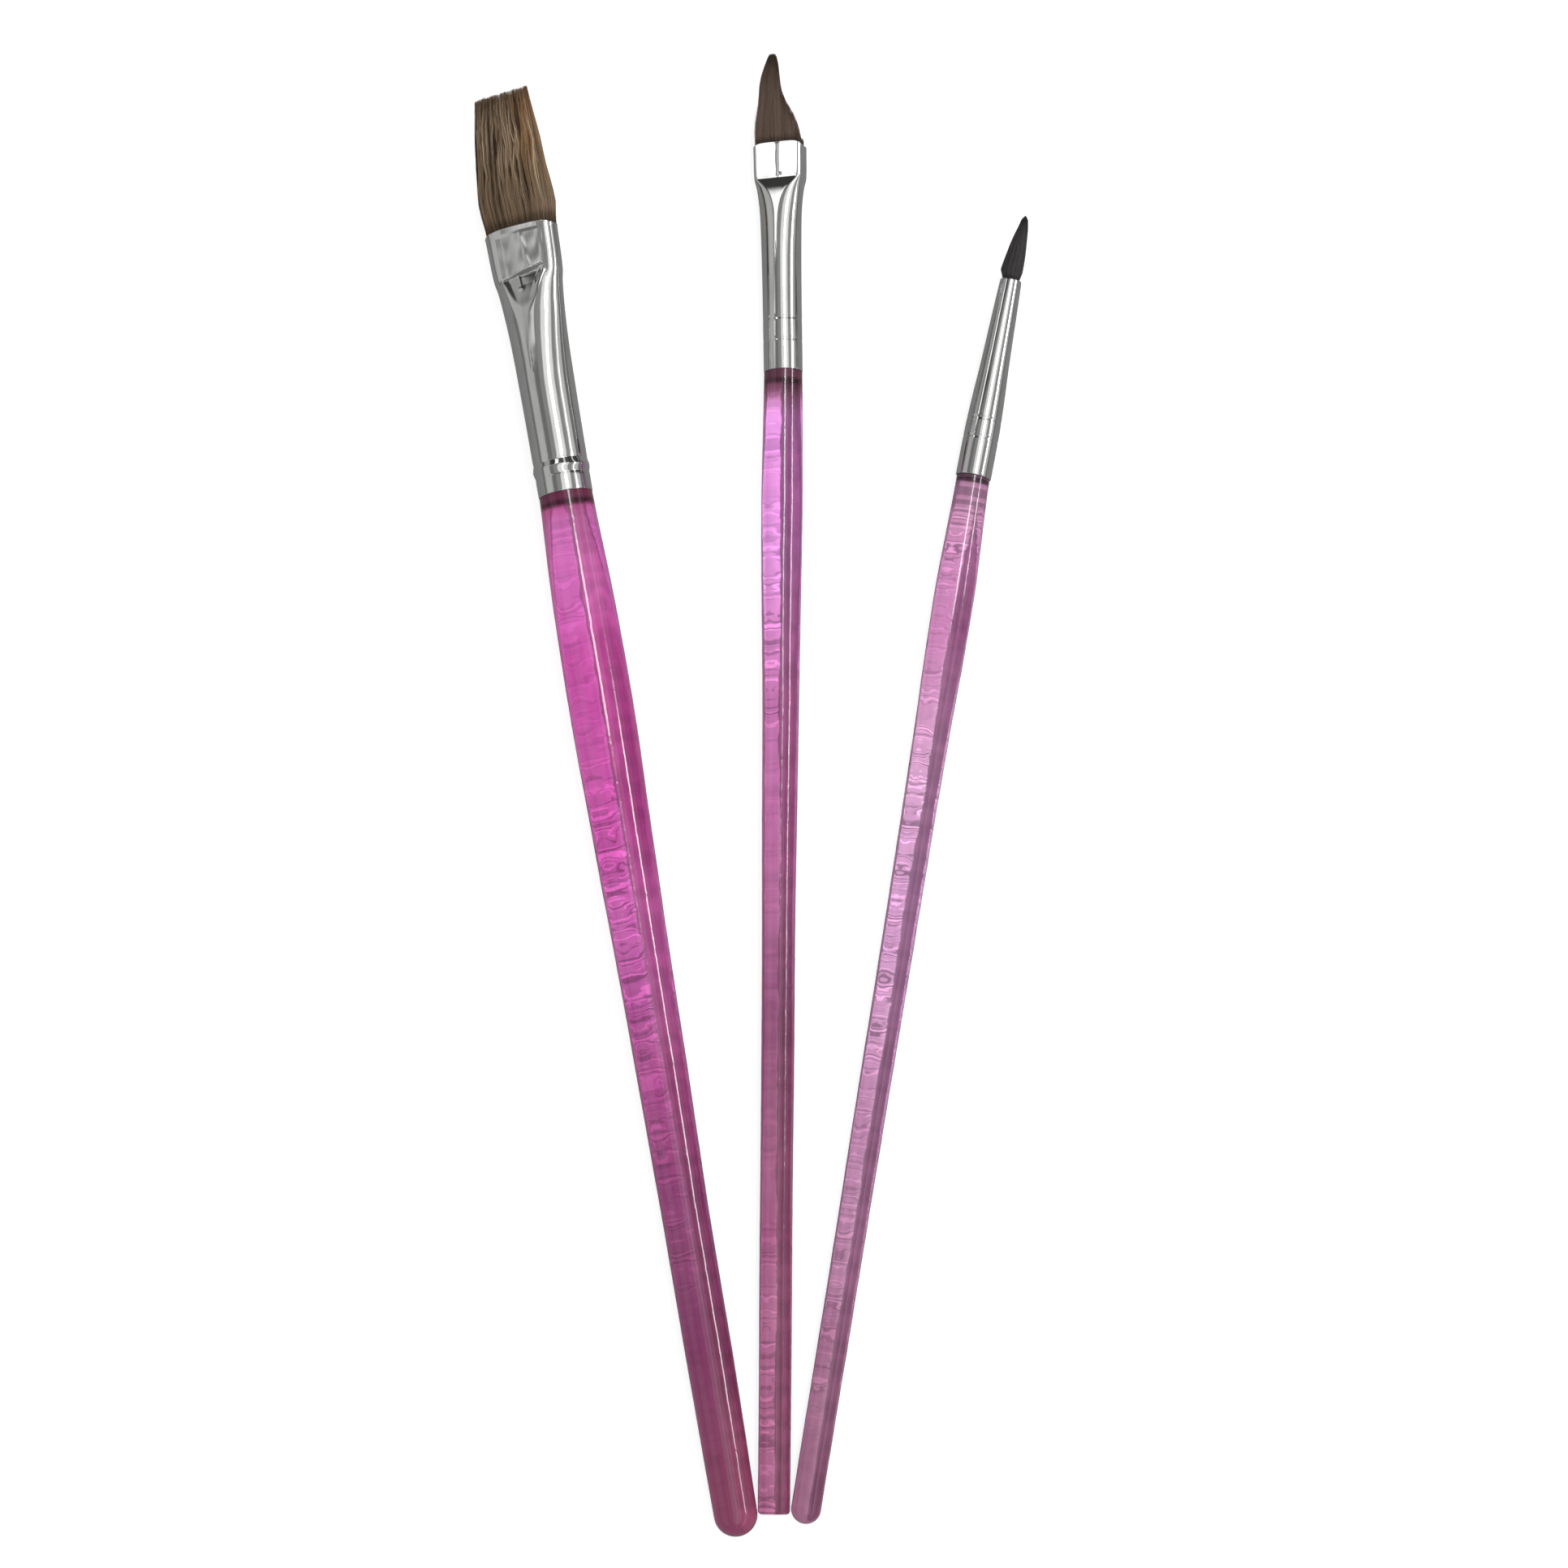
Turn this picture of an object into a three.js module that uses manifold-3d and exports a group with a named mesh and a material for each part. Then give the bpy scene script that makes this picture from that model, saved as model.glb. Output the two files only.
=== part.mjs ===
// A set of three tinting brushes, laid side by side with their tails together: a flat brush, a
// dagger brush and a pointed round brush. Each has a turned acrylic handle, a nickel ferrule that
// is pressed or drawn to its mouth, and a tuft of natural hair bound with thread and set in resin.
//
// Units are millimetres. +Y runs towards the hair, +X across the set, +Z up off the table.
// Each brush is made in its own axes: +Y along the brush, with zero at the foot of its ferrule,
// +X across the flat of the ferrule and +Z out of its face.
import * as THREE from 'three';
import { mergeVertices } from 'three/addons/utils/BufferGeometryUtils.js';
import Module from 'manifold-3d';

const wasm = await Module();
wasm.setup();

// ---------------------------------------------------------------- driving dimensions
const FERRULE_WALL = 0.35; // sheet thickness of every ferrule
const FIT = 0.1; // clearance of what sits in a ferrule
const GLUE_FILM = 0.25; // adhesive between a tenon and its ferrule
const THREAD = 0.34; // thickness of the binding thread
const THREAD_TURNS = 4;
const ROOT_BELOW_MOUTH = 0.3; // the packed root stops this far inside the mouth's lowest edge
const HAIR_IN_ROOT = 0.3; // how deep each hair is set in the root
const HAIR_RADIUS = 0.165; // corner radius of a three-sided hair at its root
const SECTION_POINTS = 24; // round a ferrule, a multiple of 4
const HANDLE_SIDES = 24; // one side lies flat on the table
const HANDLE_STEPS = 15; // rings along a handle's curve

const PINK = 0xd468b6;
const PALE_PINK = 0xdc92c6;
const NICKEL = 0xb9bbbe;

// rim: where the foot of the ferrule is, across and along the set. yaw: which way the brush points.
// roll: turn about its own axis. lean: how far the ferrule sits askew on the handle. All degrees.
// handle.profile: [distance below the ferrule, diameter].
// ferrule.stations: [distance below the mouth, width, thickness, corner radius]. dip: how far the
// mouth's edge drops at the ferrule's sides. panel: the shallow recess pressed in its two faces.
// crimps: [distance below the mouth, height of the ridge, or depth of the groove if negative].
// hair.pitch: how far apart the hairs of a row stand. hair.room: what is left free round the tuft.
// hair.form: [height above the mouth, shift across, width scale, thickness scale].
const FLAT = {
  name: 'flat',
  rim: [-29.8, 37.75],
  yaw: 9.65,
  roll: -23,
  lean: 0.2,
  handle: {
    colour: PINK,
    profile: [
      [0.1, 7.3], [2, 7.45], [10, 8.15], [19, 8.6], [32, 8.8], [44, 8.25], [66, 7.4], [89, 6.7],
      [105, 6.35], [125, 6.2], [139.5, 5.8],
    ],
    tail: 'round',
    tenon: 13,
  },
  ferrule: {
    length: 38,
    stations: [
      [0, 10.7, 4.2, 1.9], [1.1, 10.6, 4.2, 1.9], [6.9, 10.05, 4.3, 1.9], [8.6, 9.5, 5, 2.2],
      [13.5, 8.55, 6.2, 2.75], [18, 8, 7.05, 3.4], [23, 7.7, 7.65, 3.8], [38, 7.45, 7.45, 3.725],
    ],
    dip: 0.8,
    panel: { below: 1.1, height: 5.6, width: 6.3, depth: 0.12 },
    crimps: [[34.4, 0.2]],
  },
  root: 6,
  resin: 15,
  hair: {
    colour: 0x6b5846,
    rows: 7,
    pitch: 0.37,
    room: 0.2,
    form: [[0, 0, 1, 1], [1.5, 0, 1.1, 1.16], [4, -0.05, 1.15, 1.25], [12, 0.2, 1.02, 0.62], [19, 0.5, 0.84, 0.2]],
  },
};

const DAGGER = {
  name: 'dagger',
  rim: [-0.1, 55.35],
  yaw: -0.46,
  roll: -18,
  lean: 1,
  handle: {
    colour: PINK,
    profile: [
      [0.1, 5.25], [2, 5.3], [10.8, 5.55], [17.4, 5.7], [24.1, 5.6], [39.7, 5.15], [59.7, 4.8],
      [75, 4.55], [100, 4.42], [130, 4.38], [154.6, 4.3],
    ],
    tail: 'cut',
    tenon: 11,
  },
  ferrule: {
    length: 32.4,
    stations: [
      [0, 7, 3.2, 0.6], [0.8, 6.95, 3.2, 0.65], [5, 6.8, 3.25, 0.75], [7, 6.35, 4, 1.25],
      [9.8, 5.9, 4.65, 1.9], [14.2, 5.6, 5.25, 2.5], [18.7, 5.45, 5.42, 2.7], [32.4, 5.35, 5.35, 2.675],
    ],
    dip: 0.7,
    crimps: [[25.1, -0.1], [28.1, -0.1]],
  },
  root: 5,
  resin: 11.5,
  hair: {
    colour: 0x473c32,
    rows: 6,
    pitch: 0.35,
    room: 0.2,
    form: [[0, 0, 1, 1], [3, -0.37, 0.96, 1.05], [8, -0.52, 0.79, 0.55], [13.5, -0.25, 0.3, 0.14]],
  },
};

const ROUND = {
  name: 'round',
  rim: [25.95, 40.6],
  yaw: -9.36,
  roll: 0,
  lean: -1.6,
  handle: {
    colour: PALE_PINK,
    profile: [
      [0.1, 4.55], [3, 4.65], [9, 5.1], [17, 5.5], [24, 5.4], [34, 5], [46, 4.7], [62, 4.5],
      [80, 4.34], [105, 4.12], [141.5, 4],
    ],
    tail: 'round',
    tenon: 10,
  },
  ferrule: {
    length: 28.2,
    stations: [
      [0, 2.95, 2.95, 1.475], [2, 3.15, 3.15, 1.575], [13, 4.05, 4.05, 2.025], [17, 4.5, 4.5, 2.25],
      [22, 4.84, 4.84, 2.42], [28.2, 4.88, 4.88, 2.44],
    ],
    dip: 0,
    crimps: [[20.1, -0.1], [22.8, -0.1]],
  },
  root: 4.5,
  resin: 10,
  hair: {
    colour: 0x38342f,
    rows: 8,
    pitch: 0.27,
    room: 0.05,
    form: [[0, 0, 1, 1], [2.2, 0, 1.27, 1.27], [5, 0.17, 0.98, 0.98], [10, 0.5, 0.1, 0.1]],
  },
};

const degrees = THREE.MathUtils.degToRad;

// ---------------------------------------------------------------- solids

/** Joins rings of equal point counts into one closed body, capped or run back to its start. */
function loft(rings, { looped = false } = {}) {
  const n = rings[0].length;
  const position = rings.flat().flatMap((p) => [p.x, p.y, p.z]);
  const index = [];
  const joins = looped ? rings.length : rings.length - 1;
  for (let i = 0; i < joins; i += 1) {
    const near = i * n;
    const far = ((i + 1) % rings.length) * n;
    for (let j = 0; j < n; j += 1) {
      const k = (j + 1) % n;
      index.push(near + j, near + k, far + k, near + j, far + k, far + j);
    }
  }
  if (!looped) {
    const last = (rings.length - 1) * n;
    for (let j = 1; j < n - 1; j += 1) {
      index.push(0, j + 1, j, last, last + j, last + j + 1);
    }
  }
  const geometry = new THREE.BufferGeometry();
  geometry.setAttribute('position', new THREE.Float32BufferAttribute(position, 3));
  geometry.setIndex(index);
  return facingOut(geometry);
}

/** Turns every triangle over if the body is inside out. */
function facingOut(geometry) {
  const p = geometry.attributes.position;
  const index = geometry.index.array;
  const [a, b, c] = [new THREE.Vector3(), new THREE.Vector3(), new THREE.Vector3()];
  let volume = 0;
  for (let i = 0; i < index.length; i += 3) {
    a.fromBufferAttribute(p, index[i]);
    b.fromBufferAttribute(p, index[i + 1]);
    c.fromBufferAttribute(p, index[i + 2]);
    volume += a.dot(b.cross(c));
  }
  if (volume < 0) {
    for (let i = 0; i < index.length; i += 3) {
      [index[i], index[i + 1]] = [index[i + 1], index[i]];
    }
  }
  return geometry;
}

/** A geometry as a solid that can be joined to others. */
function toSolid(geometry) {
  const bare = geometry.clone();
  bare.deleteAttribute('normal');
  bare.deleteAttribute('uv');
  const merged = mergeVertices(bare, 1e-4);
  return new wasm.Manifold(new wasm.Mesh({
    numProp: 3,
    vertProperties: new Float32Array(merged.attributes.position.array),
    triVerts: new Uint32Array(merged.index.array),
  }));
}

/** A solid back as a geometry. */
function toGeometry(solid) {
  const mesh = solid.getMesh();
  const geometry = new THREE.BufferGeometry();
  geometry.setAttribute('position', new THREE.BufferAttribute(mesh.vertProperties, 3));
  geometry.setIndex(new THREE.BufferAttribute(mesh.triVerts, 1));
  return geometry;
}

// ---------------------------------------------------------------- the ferrule and what it holds

/** A table's row at a place, by straight lines between its rows. The first column is the place. */
function rowAt(table, place) {
  const i = Math.max(1, table.findIndex((row) => row[0] >= place));
  const [low, high] = [table[i - 1], table[i]];
  const share = (place - low[0]) / (high[0] - low[0]);
  return low.map((value, k) => THREE.MathUtils.lerp(value, high[k], share));
}

/** How far the ferrule's cut edge has dropped at a place across it, near the mouth. */
function mouthDip({ dip, stations }, x, below) {
  const [, width] = stations[0];
  const side = Math.min(1, Math.abs(x) / (width / 2)) ** 6;
  return dip * side * Math.max(0, 1 - below / stations[1][0]);
}

/** A ring round the ferrule, at a distance below its mouth and inset from its outer skin. */
function ferruleRing(ferrule, below, inset) {
  const [, width, thick, corner] = rowAt(ferrule.stations, below);
  const radius = Math.max(corner - inset, 0.08);
  const [halfX, halfZ] = [width / 2 - inset - radius, thick / 2 - inset - radius];
  const ring = [];
  for (let i = 0; i < SECTION_POINTS; i += 1) {
    const angle = ((i + 0.5) / SECTION_POINTS) * Math.PI * 2;
    const [c, s] = [Math.cos(angle), Math.sin(angle)];
    const x = Math.sign(c) * halfX + c * radius;
    const y = ferrule.length - below - mouthDip(ferrule, x, below);
    ring.push(new THREE.Vector3(x, y, Math.sign(s) * halfZ + s * radius));
  }
  return ring;
}

/** A solid plug that fills the ferrule from one depth to another, less an inset. */
function ferrulePlug(ferrule, cuts) {
  return loft(cuts.map(([below, inset]) => ferruleRing(ferrule, below, inset)));
}

/** The places where a plug between two depths has to bend to follow the ferrule. */
function bendsBetween(ferrule, from, to) {
  const between = ferrule.stations.map(([below]) => below);
  return [from, ...between.filter((below) => below > from + 0.3 && below < to - 0.3), to];
}

/** The ferrule: a tube of even wall with its crimped rings and its pressed panels. */
function makeFerrule({ ferrule }) {
  const { stations, crimps, length, panel } = ferrule;
  const reach = 0.55; // half the length of a crimp
  const outer = stations.map(([below]) => [below, 0]);
  for (const [below, height] of crimps) {
    const ridge = height > 0 ? [-0.4, 0.4] : [0];
    outer.push([below - reach, 0], [below + reach, 0]);
    outer.push(...ridge.map((share) => [below + share * reach, -height]));
  }
  outer.sort((a, b) => a[0] - b[0]);
  const inner = stations.map(([below]) => [below, FERRULE_WALL]).reverse();
  const edge = [[length, 0.08]]; // the foot's cut edge is broken a little
  outer[outer.length - 1][0] = length - 0.1;
  const tube = loft([...outer, ...edge, ...inner].map(([below, inset]) => (
    ferruleRing(ferrule, below, inset))), { looped: true });
  return panel ? pressPanels(tube, ferrule) : tube;
}

/** Presses a shallow rectangle into both faces of a ferrule. */
function pressPanels(tube, { panel, stations, length }) {
  const [, , thick] = stations[0];
  let pressed = toSolid(tube);
  for (const side of [1, -1]) {
    const die = new THREE.BoxGeometry(panel.width, panel.height, 1);
    const middle = length - panel.below - panel.height / 2;
    die.translate(0, middle, side * (thick / 2 - panel.depth + 0.5));
    pressed = pressed.subtract(toSolid(die));
  }
  return toGeometry(pressed);
}

const BORE = FERRULE_WALL + FIT; // inset of what fits in the ferrule
const GROOVE_HALF = 0.9; // half the length of the binding's groove in the root

/** The packed root's groove for the binding, as its middle's distance below the mouth. */
const grooveMiddle = (brush) => brush.root - 1.8;

/** How far below the mouth the packed root stops. */
const rootTop = ({ ferrule }) => ROOT_BELOW_MOUTH + ferrule.dip;

/** The root: hair packed solid, necked in where the thread binds it. */
function makeRoot(brush) {
  const middle = grooveMiddle(brush);
  const [top, foot] = [middle - GROOVE_HALF, middle + GROOVE_HALF];
  const neck = BORE + THREAD + FIT;
  return ferrulePlug(brush.ferrule, [
    [rootTop(brush), BORE], [top, BORE], [top + 0.01, neck], [foot - 0.01, neck], [foot, BORE],
    [brush.root, BORE],
  ]);
}

/** The binding: turns of thread drawn tight round the root, side by side. */
function makeBinding(brush) {
  const middle = grooveMiddle(brush);
  const half = GROOVE_HALF - FIT;
  const pitch = (2 * half) / THREAD_TURNS;
  const rings = [];
  for (let turn = 0; turn < THREAD_TURNS; turn += 1) {
    const start = middle - half + turn * pitch;
    rings.push([start, BORE + 0.14], [start + pitch / 2, BORE + 0.02]);
  }
  rings.push([middle + half, BORE + 0.14]);
  rings.push([middle + half, BORE + THREAD], [middle - half, BORE + THREAD]);
  return loft(rings.map(([below, inset]) => ferruleRing(brush.ferrule, below, inset)),
    { looped: true });
}

/** The resin: a cured plug behind the root. */
function makeResin(brush) {
  const from = brush.root + FIT;
  return ferrulePlug(brush.ferrule, bendsBetween(brush.ferrule, from, brush.resin)
    .map((below) => [below, BORE]));
}

/** The glue: a sleeve of adhesive between the tenon and the ferrule. */
function makeGlue({ ferrule, handle }) {
  const [from, to] = [ferrule.length - handle.tenon + 1, ferrule.length - FIT];
  const depths = bendsBetween(ferrule, from, to);
  const outer = depths.map((below) => [below, BORE]);
  const inner = depths.map((below) => [below, BORE + GLUE_FILM]).reverse();
  return loft([...outer, ...inner].map(([below, inset]) => (
    ferruleRing(ferrule, below, inset))), { looped: true });
}

// ---------------------------------------------------------------- the handle

/** The half outline of a handle below the ferrule, from the axis round to the axis at the tail. */
function handleOutline({ profile, tail }) {
  const bare = profile.map(([below, diameter]) => new THREE.Vector2(diameter / 2, -below));
  const [first] = bare;
  const last = bare[bare.length - 1];
  const outline = [new THREE.Vector2(0, first.y), new THREE.Vector2(first.x - 0.15, first.y)];
  const curve = new THREE.SplineCurve(bare.slice(1));
  outline.push(...curve.getPoints(HANDLE_STEPS));
  if (tail === 'cut') {
    const chamfer = 0.5;
    outline.push(new THREE.Vector2(last.x - chamfer, last.y - chamfer));
    outline.push(new THREE.Vector2(0, last.y - chamfer));
    return outline;
  }
  for (const share of [0.3, 0.58, 0.8, 1]) {
    const angle = (share * Math.PI) / 2;
    const radius = share < 1 ? last.x * Math.cos(angle) : 0;
    outline.push(new THREE.Vector2(radius, last.y - last.x * Math.sin(angle)));
  }
  return outline;
}

/** The handle: turned to its outline, with a tenon that follows the ferrule. */
function makeHandle(brush, headPose) {
  const { ferrule, handle } = brush;
  const outline = handleOutline(handle).reverse();
  const halfSide = Math.PI / HANDLE_SIDES;
  const body = new THREE.LatheGeometry(outline, HANDLE_SIDES, halfSide, Math.PI * 2);
  const clear = BORE + GLUE_FILM + FIT;
  const tenon = ferrulePlug(ferrule, [
    [ferrule.length - handle.tenon, clear + 0.25],
    [ferrule.length - handle.tenon + 0.5, clear],
    [ferrule.length - FIT, clear],
  ]);
  const stub = tenon.clone().applyMatrix4(new THREE.Matrix4().makeTranslation(0, -0.4, 0));
  const pin = toSolid(tenon.applyMatrix4(headPose)).add(toSolid(stub.applyMatrix4(headPose)));
  return toGeometry(toSolid(body).add(pin));
}

// ---------------------------------------------------------------- the hair

/** A small repeatable number from 0 to 1, for the hair's unevenness. */
function uneven(a, b) {
  const wave = Math.sin(a * 127.1 + b * 311.7) * 43758.5453;
  return wave - Math.floor(wave);
}

/** How high a hair at a place across the tuft grows above the mouth. */
const REACH = {
  // Cut almost straight, a little higher on the right.
  flat: (x, z) => 17.9 + 0.11 * x + 0.7 * (uneven(x, z) - 0.5),
  // Long on the left and swept down to the right along the dagger's edge.
  dagger: (x, z, hair) => {
    const edge = [[0, 3.3], [1.4, 2.6], [3.8, 1.5], [6.2, 0.4], [8.5, -0.1], [10.9, -0.4], [13.5, -1]];
    const inside = (height) => {
      const [, shift, width] = rowAt(hair.form, height);
      return shift + x * width <= rowAt(edge, height)[1];
    };
    let height = 12.9 - 0.5 * Math.abs(z);
    while (height > 1 && !inside(height)) height -= 0.1;
    return height;
  },
  // Longest in the middle, so that the tuft comes to a point.
  round: (x, z) => 9.7 - 2.2 * (x * x + z * z) + 0.2 * (uneven(x, z) - 0.5),
};

/** Where each hair stands at the mouth: rows that fill the ferrule's bore, less some room. */
function hairPlaces({ ferrule, hair }) {
  const [, width, thick, corner] = ferrule.stations[0];
  const inset = BORE + hair.room;
  const radius = Math.max(corner - inset, 0);
  const [halfX, halfZ] = [width / 2 - inset - radius, thick / 2 - inset - radius];
  const places = [];
  for (let row = 0; row < hair.rows; row += 1) {
    const z = (2 * (row + 0.1) / (hair.rows - 0.8) - 1) * (halfZ + radius);
    const reach = halfX + Math.sqrt(radius ** 2 - Math.max(0, Math.abs(z) - halfZ) ** 2);
    const gaps = Math.floor((2 * reach) / hair.pitch);
    for (let i = 0; i <= gaps; i += 1) places.push([(2 * i / gaps - 1) * reach, z]);
  }
  return places;
}

/** One hair: a three-sided strand that follows the tuft's form and ends in a point. */
function makeStrand(brush, x, z) {
  const { ferrule, hair, name } = brush;
  const size = HAIR_RADIUS * (name === 'round' ? 0.62 : 1);
  const foot = -rootTop(brush) - HAIR_IN_ROOT;
  const reach = REACH[name](x, z, hair);
  const at = (height, dx, dz) => {
    const [, shift, width, thick] = rowAt(hair.form, Math.max(height, 0));
    return new THREE.Vector3(shift + (x + dx) * width, ferrule.length + height, (z + dz) * thick);
  };
  const heights = [foot, ...hair.form.map(([height]) => height).filter((h) => h > 0 && h < reach - 0.3)];
  const corners = [90, 210, 330].map(degrees);
  const rings = heights.map((height) => corners.map((angle) => (
    at(height, size * Math.cos(angle), size * Math.sin(angle)))));
  return { rings, tip: at(reach, 0, 0) };
}

/** The tuft: every hair joined to the packed root. */
function makeHair(brush) {
  const position = [];
  const index = [];
  for (const [x, z] of hairPlaces(brush)) {
    const { rings, tip } = makeStrand(brush, x, z);
    const start = position.length / 3;
    const points = [...rings.flat(), tip];
    position.push(...points.flatMap((p) => [p.x, p.y, p.z]));
    index.push(start, start + 1, start + 2);
    for (let i = 0; i < rings.length - 1; i += 1) {
      for (let j = 0; j < 3; j += 1) {
        const [a, b] = [start + i * 3 + j, start + i * 3 + ((j + 1) % 3)];
        index.push(a, a + 3, b + 3, a, b + 3, b);
      }
    }
    const top = start + (rings.length - 1) * 3;
    for (let j = 0; j < 3; j += 1) {
      index.push(top + j, start + points.length - 1, top + ((j + 1) % 3));
    }
  }
  const strands = new THREE.BufferGeometry();
  strands.setAttribute('position', new THREE.Float32BufferAttribute(position, 3));
  strands.setIndex(index);
  return toGeometry(toSolid(facingOut(strands)).add(toSolid(makeRoot(brush))));
}

// ---------------------------------------------------------------- finishes and assembly

const acrylic = (color) => new THREE.MeshStandardMaterial({ color, roughness: 0.12, metalness: 0 });
const nickel = new THREE.MeshStandardMaterial({ color: NICKEL, roughness: 0.22, metalness: 1 });
const hairs = (color) => new THREE.MeshStandardMaterial({ color, roughness: 0.6, metalness: 0 });
const thread = new THREE.MeshStandardMaterial({ color: 0xe6dfcc, roughness: 0.8, metalness: 0 });
const resin = new THREE.MeshStandardMaterial({ color: 0xb98b3c, roughness: 0.35, metalness: 0 });
const glue = new THREE.MeshStandardMaterial({ color: 0xd8cfc4, roughness: 0.4, metalness: 0 });

/** A named piece. */
function piece(name, geometry, material) {
  geometry.computeVertexNormals();
  const mesh = new THREE.Mesh(geometry, material);
  mesh.name = name;
  return mesh;
}

/** How far a handle has to tip, head up, to touch the table at its belly and its tail. */
function restPitch({ profile }) {
  const [tailBelow, tailDiameter] = profile[profile.length - 1];
  const flat = Math.cos(Math.PI / HANDLE_SIDES);
  const slopes = profile.slice(0, -1).map(([below, diameter]) => (
    ((diameter - tailDiameter) / 2) * flat / (tailBelow - below)));
  return Math.atan(Math.max(...slopes));
}

/** One whole brush, laid on the table. */
function makeBrush(brush) {
  const head = new THREE.Group();
  head.rotation.set(0, degrees(brush.roll), degrees(brush.lean), 'ZXY');
  head.updateMatrix();
  head.add(
    piece(`${brush.name}_ferrule`, makeFerrule(brush), nickel),
    piece(`${brush.name}_hair`, makeHair(brush), hairs(brush.hair.colour)),
    piece(`${brush.name}_binding`, makeBinding(brush), thread),
    piece(`${brush.name}_resin`, makeResin(brush), resin),
    piece(`${brush.name}_glue`, makeGlue(brush), glue),
  );
  const handle = piece(`${brush.name}_handle`, makeHandle(brush, head.matrix),
    acrylic(brush.handle.colour));
  const whole = new THREE.Group();
  whole.add(handle, head);
  whole.rotation.set(restPitch(brush.handle), 0, degrees(brush.yaw), 'ZXY');
  whole.position.set(brush.rim[0], brush.rim[1], 0);
  whole.updateMatrixWorld(true);
  whole.position.z = -new THREE.Box3().setFromObject(handle, true).min.z;
  return whole;
}

const set = new THREE.Group();
set.add(...[FLAT, DAGGER, ROUND].map(makeBrush));
set.updateMatrixWorld(true);
const box = new THREE.Box3().setFromObject(set, true);
set.position.set(-(box.min.x + box.max.x) / 2, -(box.min.y + box.max.y) / 2, 0);

export default set;
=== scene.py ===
"""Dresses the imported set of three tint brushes: a flat, a dagger and a pointed round brush.

Each brush is a tuft of fine hair in a pressed or drawn nickel ferrule on a turned acrylic handle.
Lengths are in millimetres in each brush's own axes until a mesh is made: +Y runs from the ferrule's
foot towards the hair, +Z is up out of the pressed face, and X is across it.
"""

import logging
import math
from collections.abc import Mapping, Sequence
from dataclasses import dataclass
from enum import Enum

import bpy
import numpy as np
from mathutils import Matrix, Vector


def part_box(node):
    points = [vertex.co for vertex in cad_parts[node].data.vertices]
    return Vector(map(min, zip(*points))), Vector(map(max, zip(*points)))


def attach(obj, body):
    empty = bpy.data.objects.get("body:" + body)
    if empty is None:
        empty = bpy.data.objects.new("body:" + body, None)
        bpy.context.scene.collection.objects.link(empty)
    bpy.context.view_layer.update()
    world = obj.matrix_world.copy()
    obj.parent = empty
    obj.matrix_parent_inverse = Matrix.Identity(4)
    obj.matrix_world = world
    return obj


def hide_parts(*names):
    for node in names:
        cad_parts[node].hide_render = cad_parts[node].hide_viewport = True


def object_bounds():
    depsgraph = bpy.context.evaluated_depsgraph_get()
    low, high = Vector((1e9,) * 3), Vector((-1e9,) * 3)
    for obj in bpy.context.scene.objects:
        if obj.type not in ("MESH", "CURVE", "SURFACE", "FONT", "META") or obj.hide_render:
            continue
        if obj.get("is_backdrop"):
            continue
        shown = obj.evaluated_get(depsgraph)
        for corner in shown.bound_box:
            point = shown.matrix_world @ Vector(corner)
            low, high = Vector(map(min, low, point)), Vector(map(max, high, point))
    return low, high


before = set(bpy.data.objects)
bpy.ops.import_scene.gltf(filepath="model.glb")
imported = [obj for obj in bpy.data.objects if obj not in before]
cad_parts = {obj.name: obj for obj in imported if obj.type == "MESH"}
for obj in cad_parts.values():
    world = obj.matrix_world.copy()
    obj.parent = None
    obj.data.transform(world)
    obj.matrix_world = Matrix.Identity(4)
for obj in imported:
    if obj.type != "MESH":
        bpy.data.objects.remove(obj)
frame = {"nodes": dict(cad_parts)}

MM = 0.001
TENON_INSET = 0.8  # how far a tenon stands inside its ferrule's outer skin, in millimetres
LOG = logging.getLogger("tint_brushes")
Array = np.ndarray


# ---------- shader sheets


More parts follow.
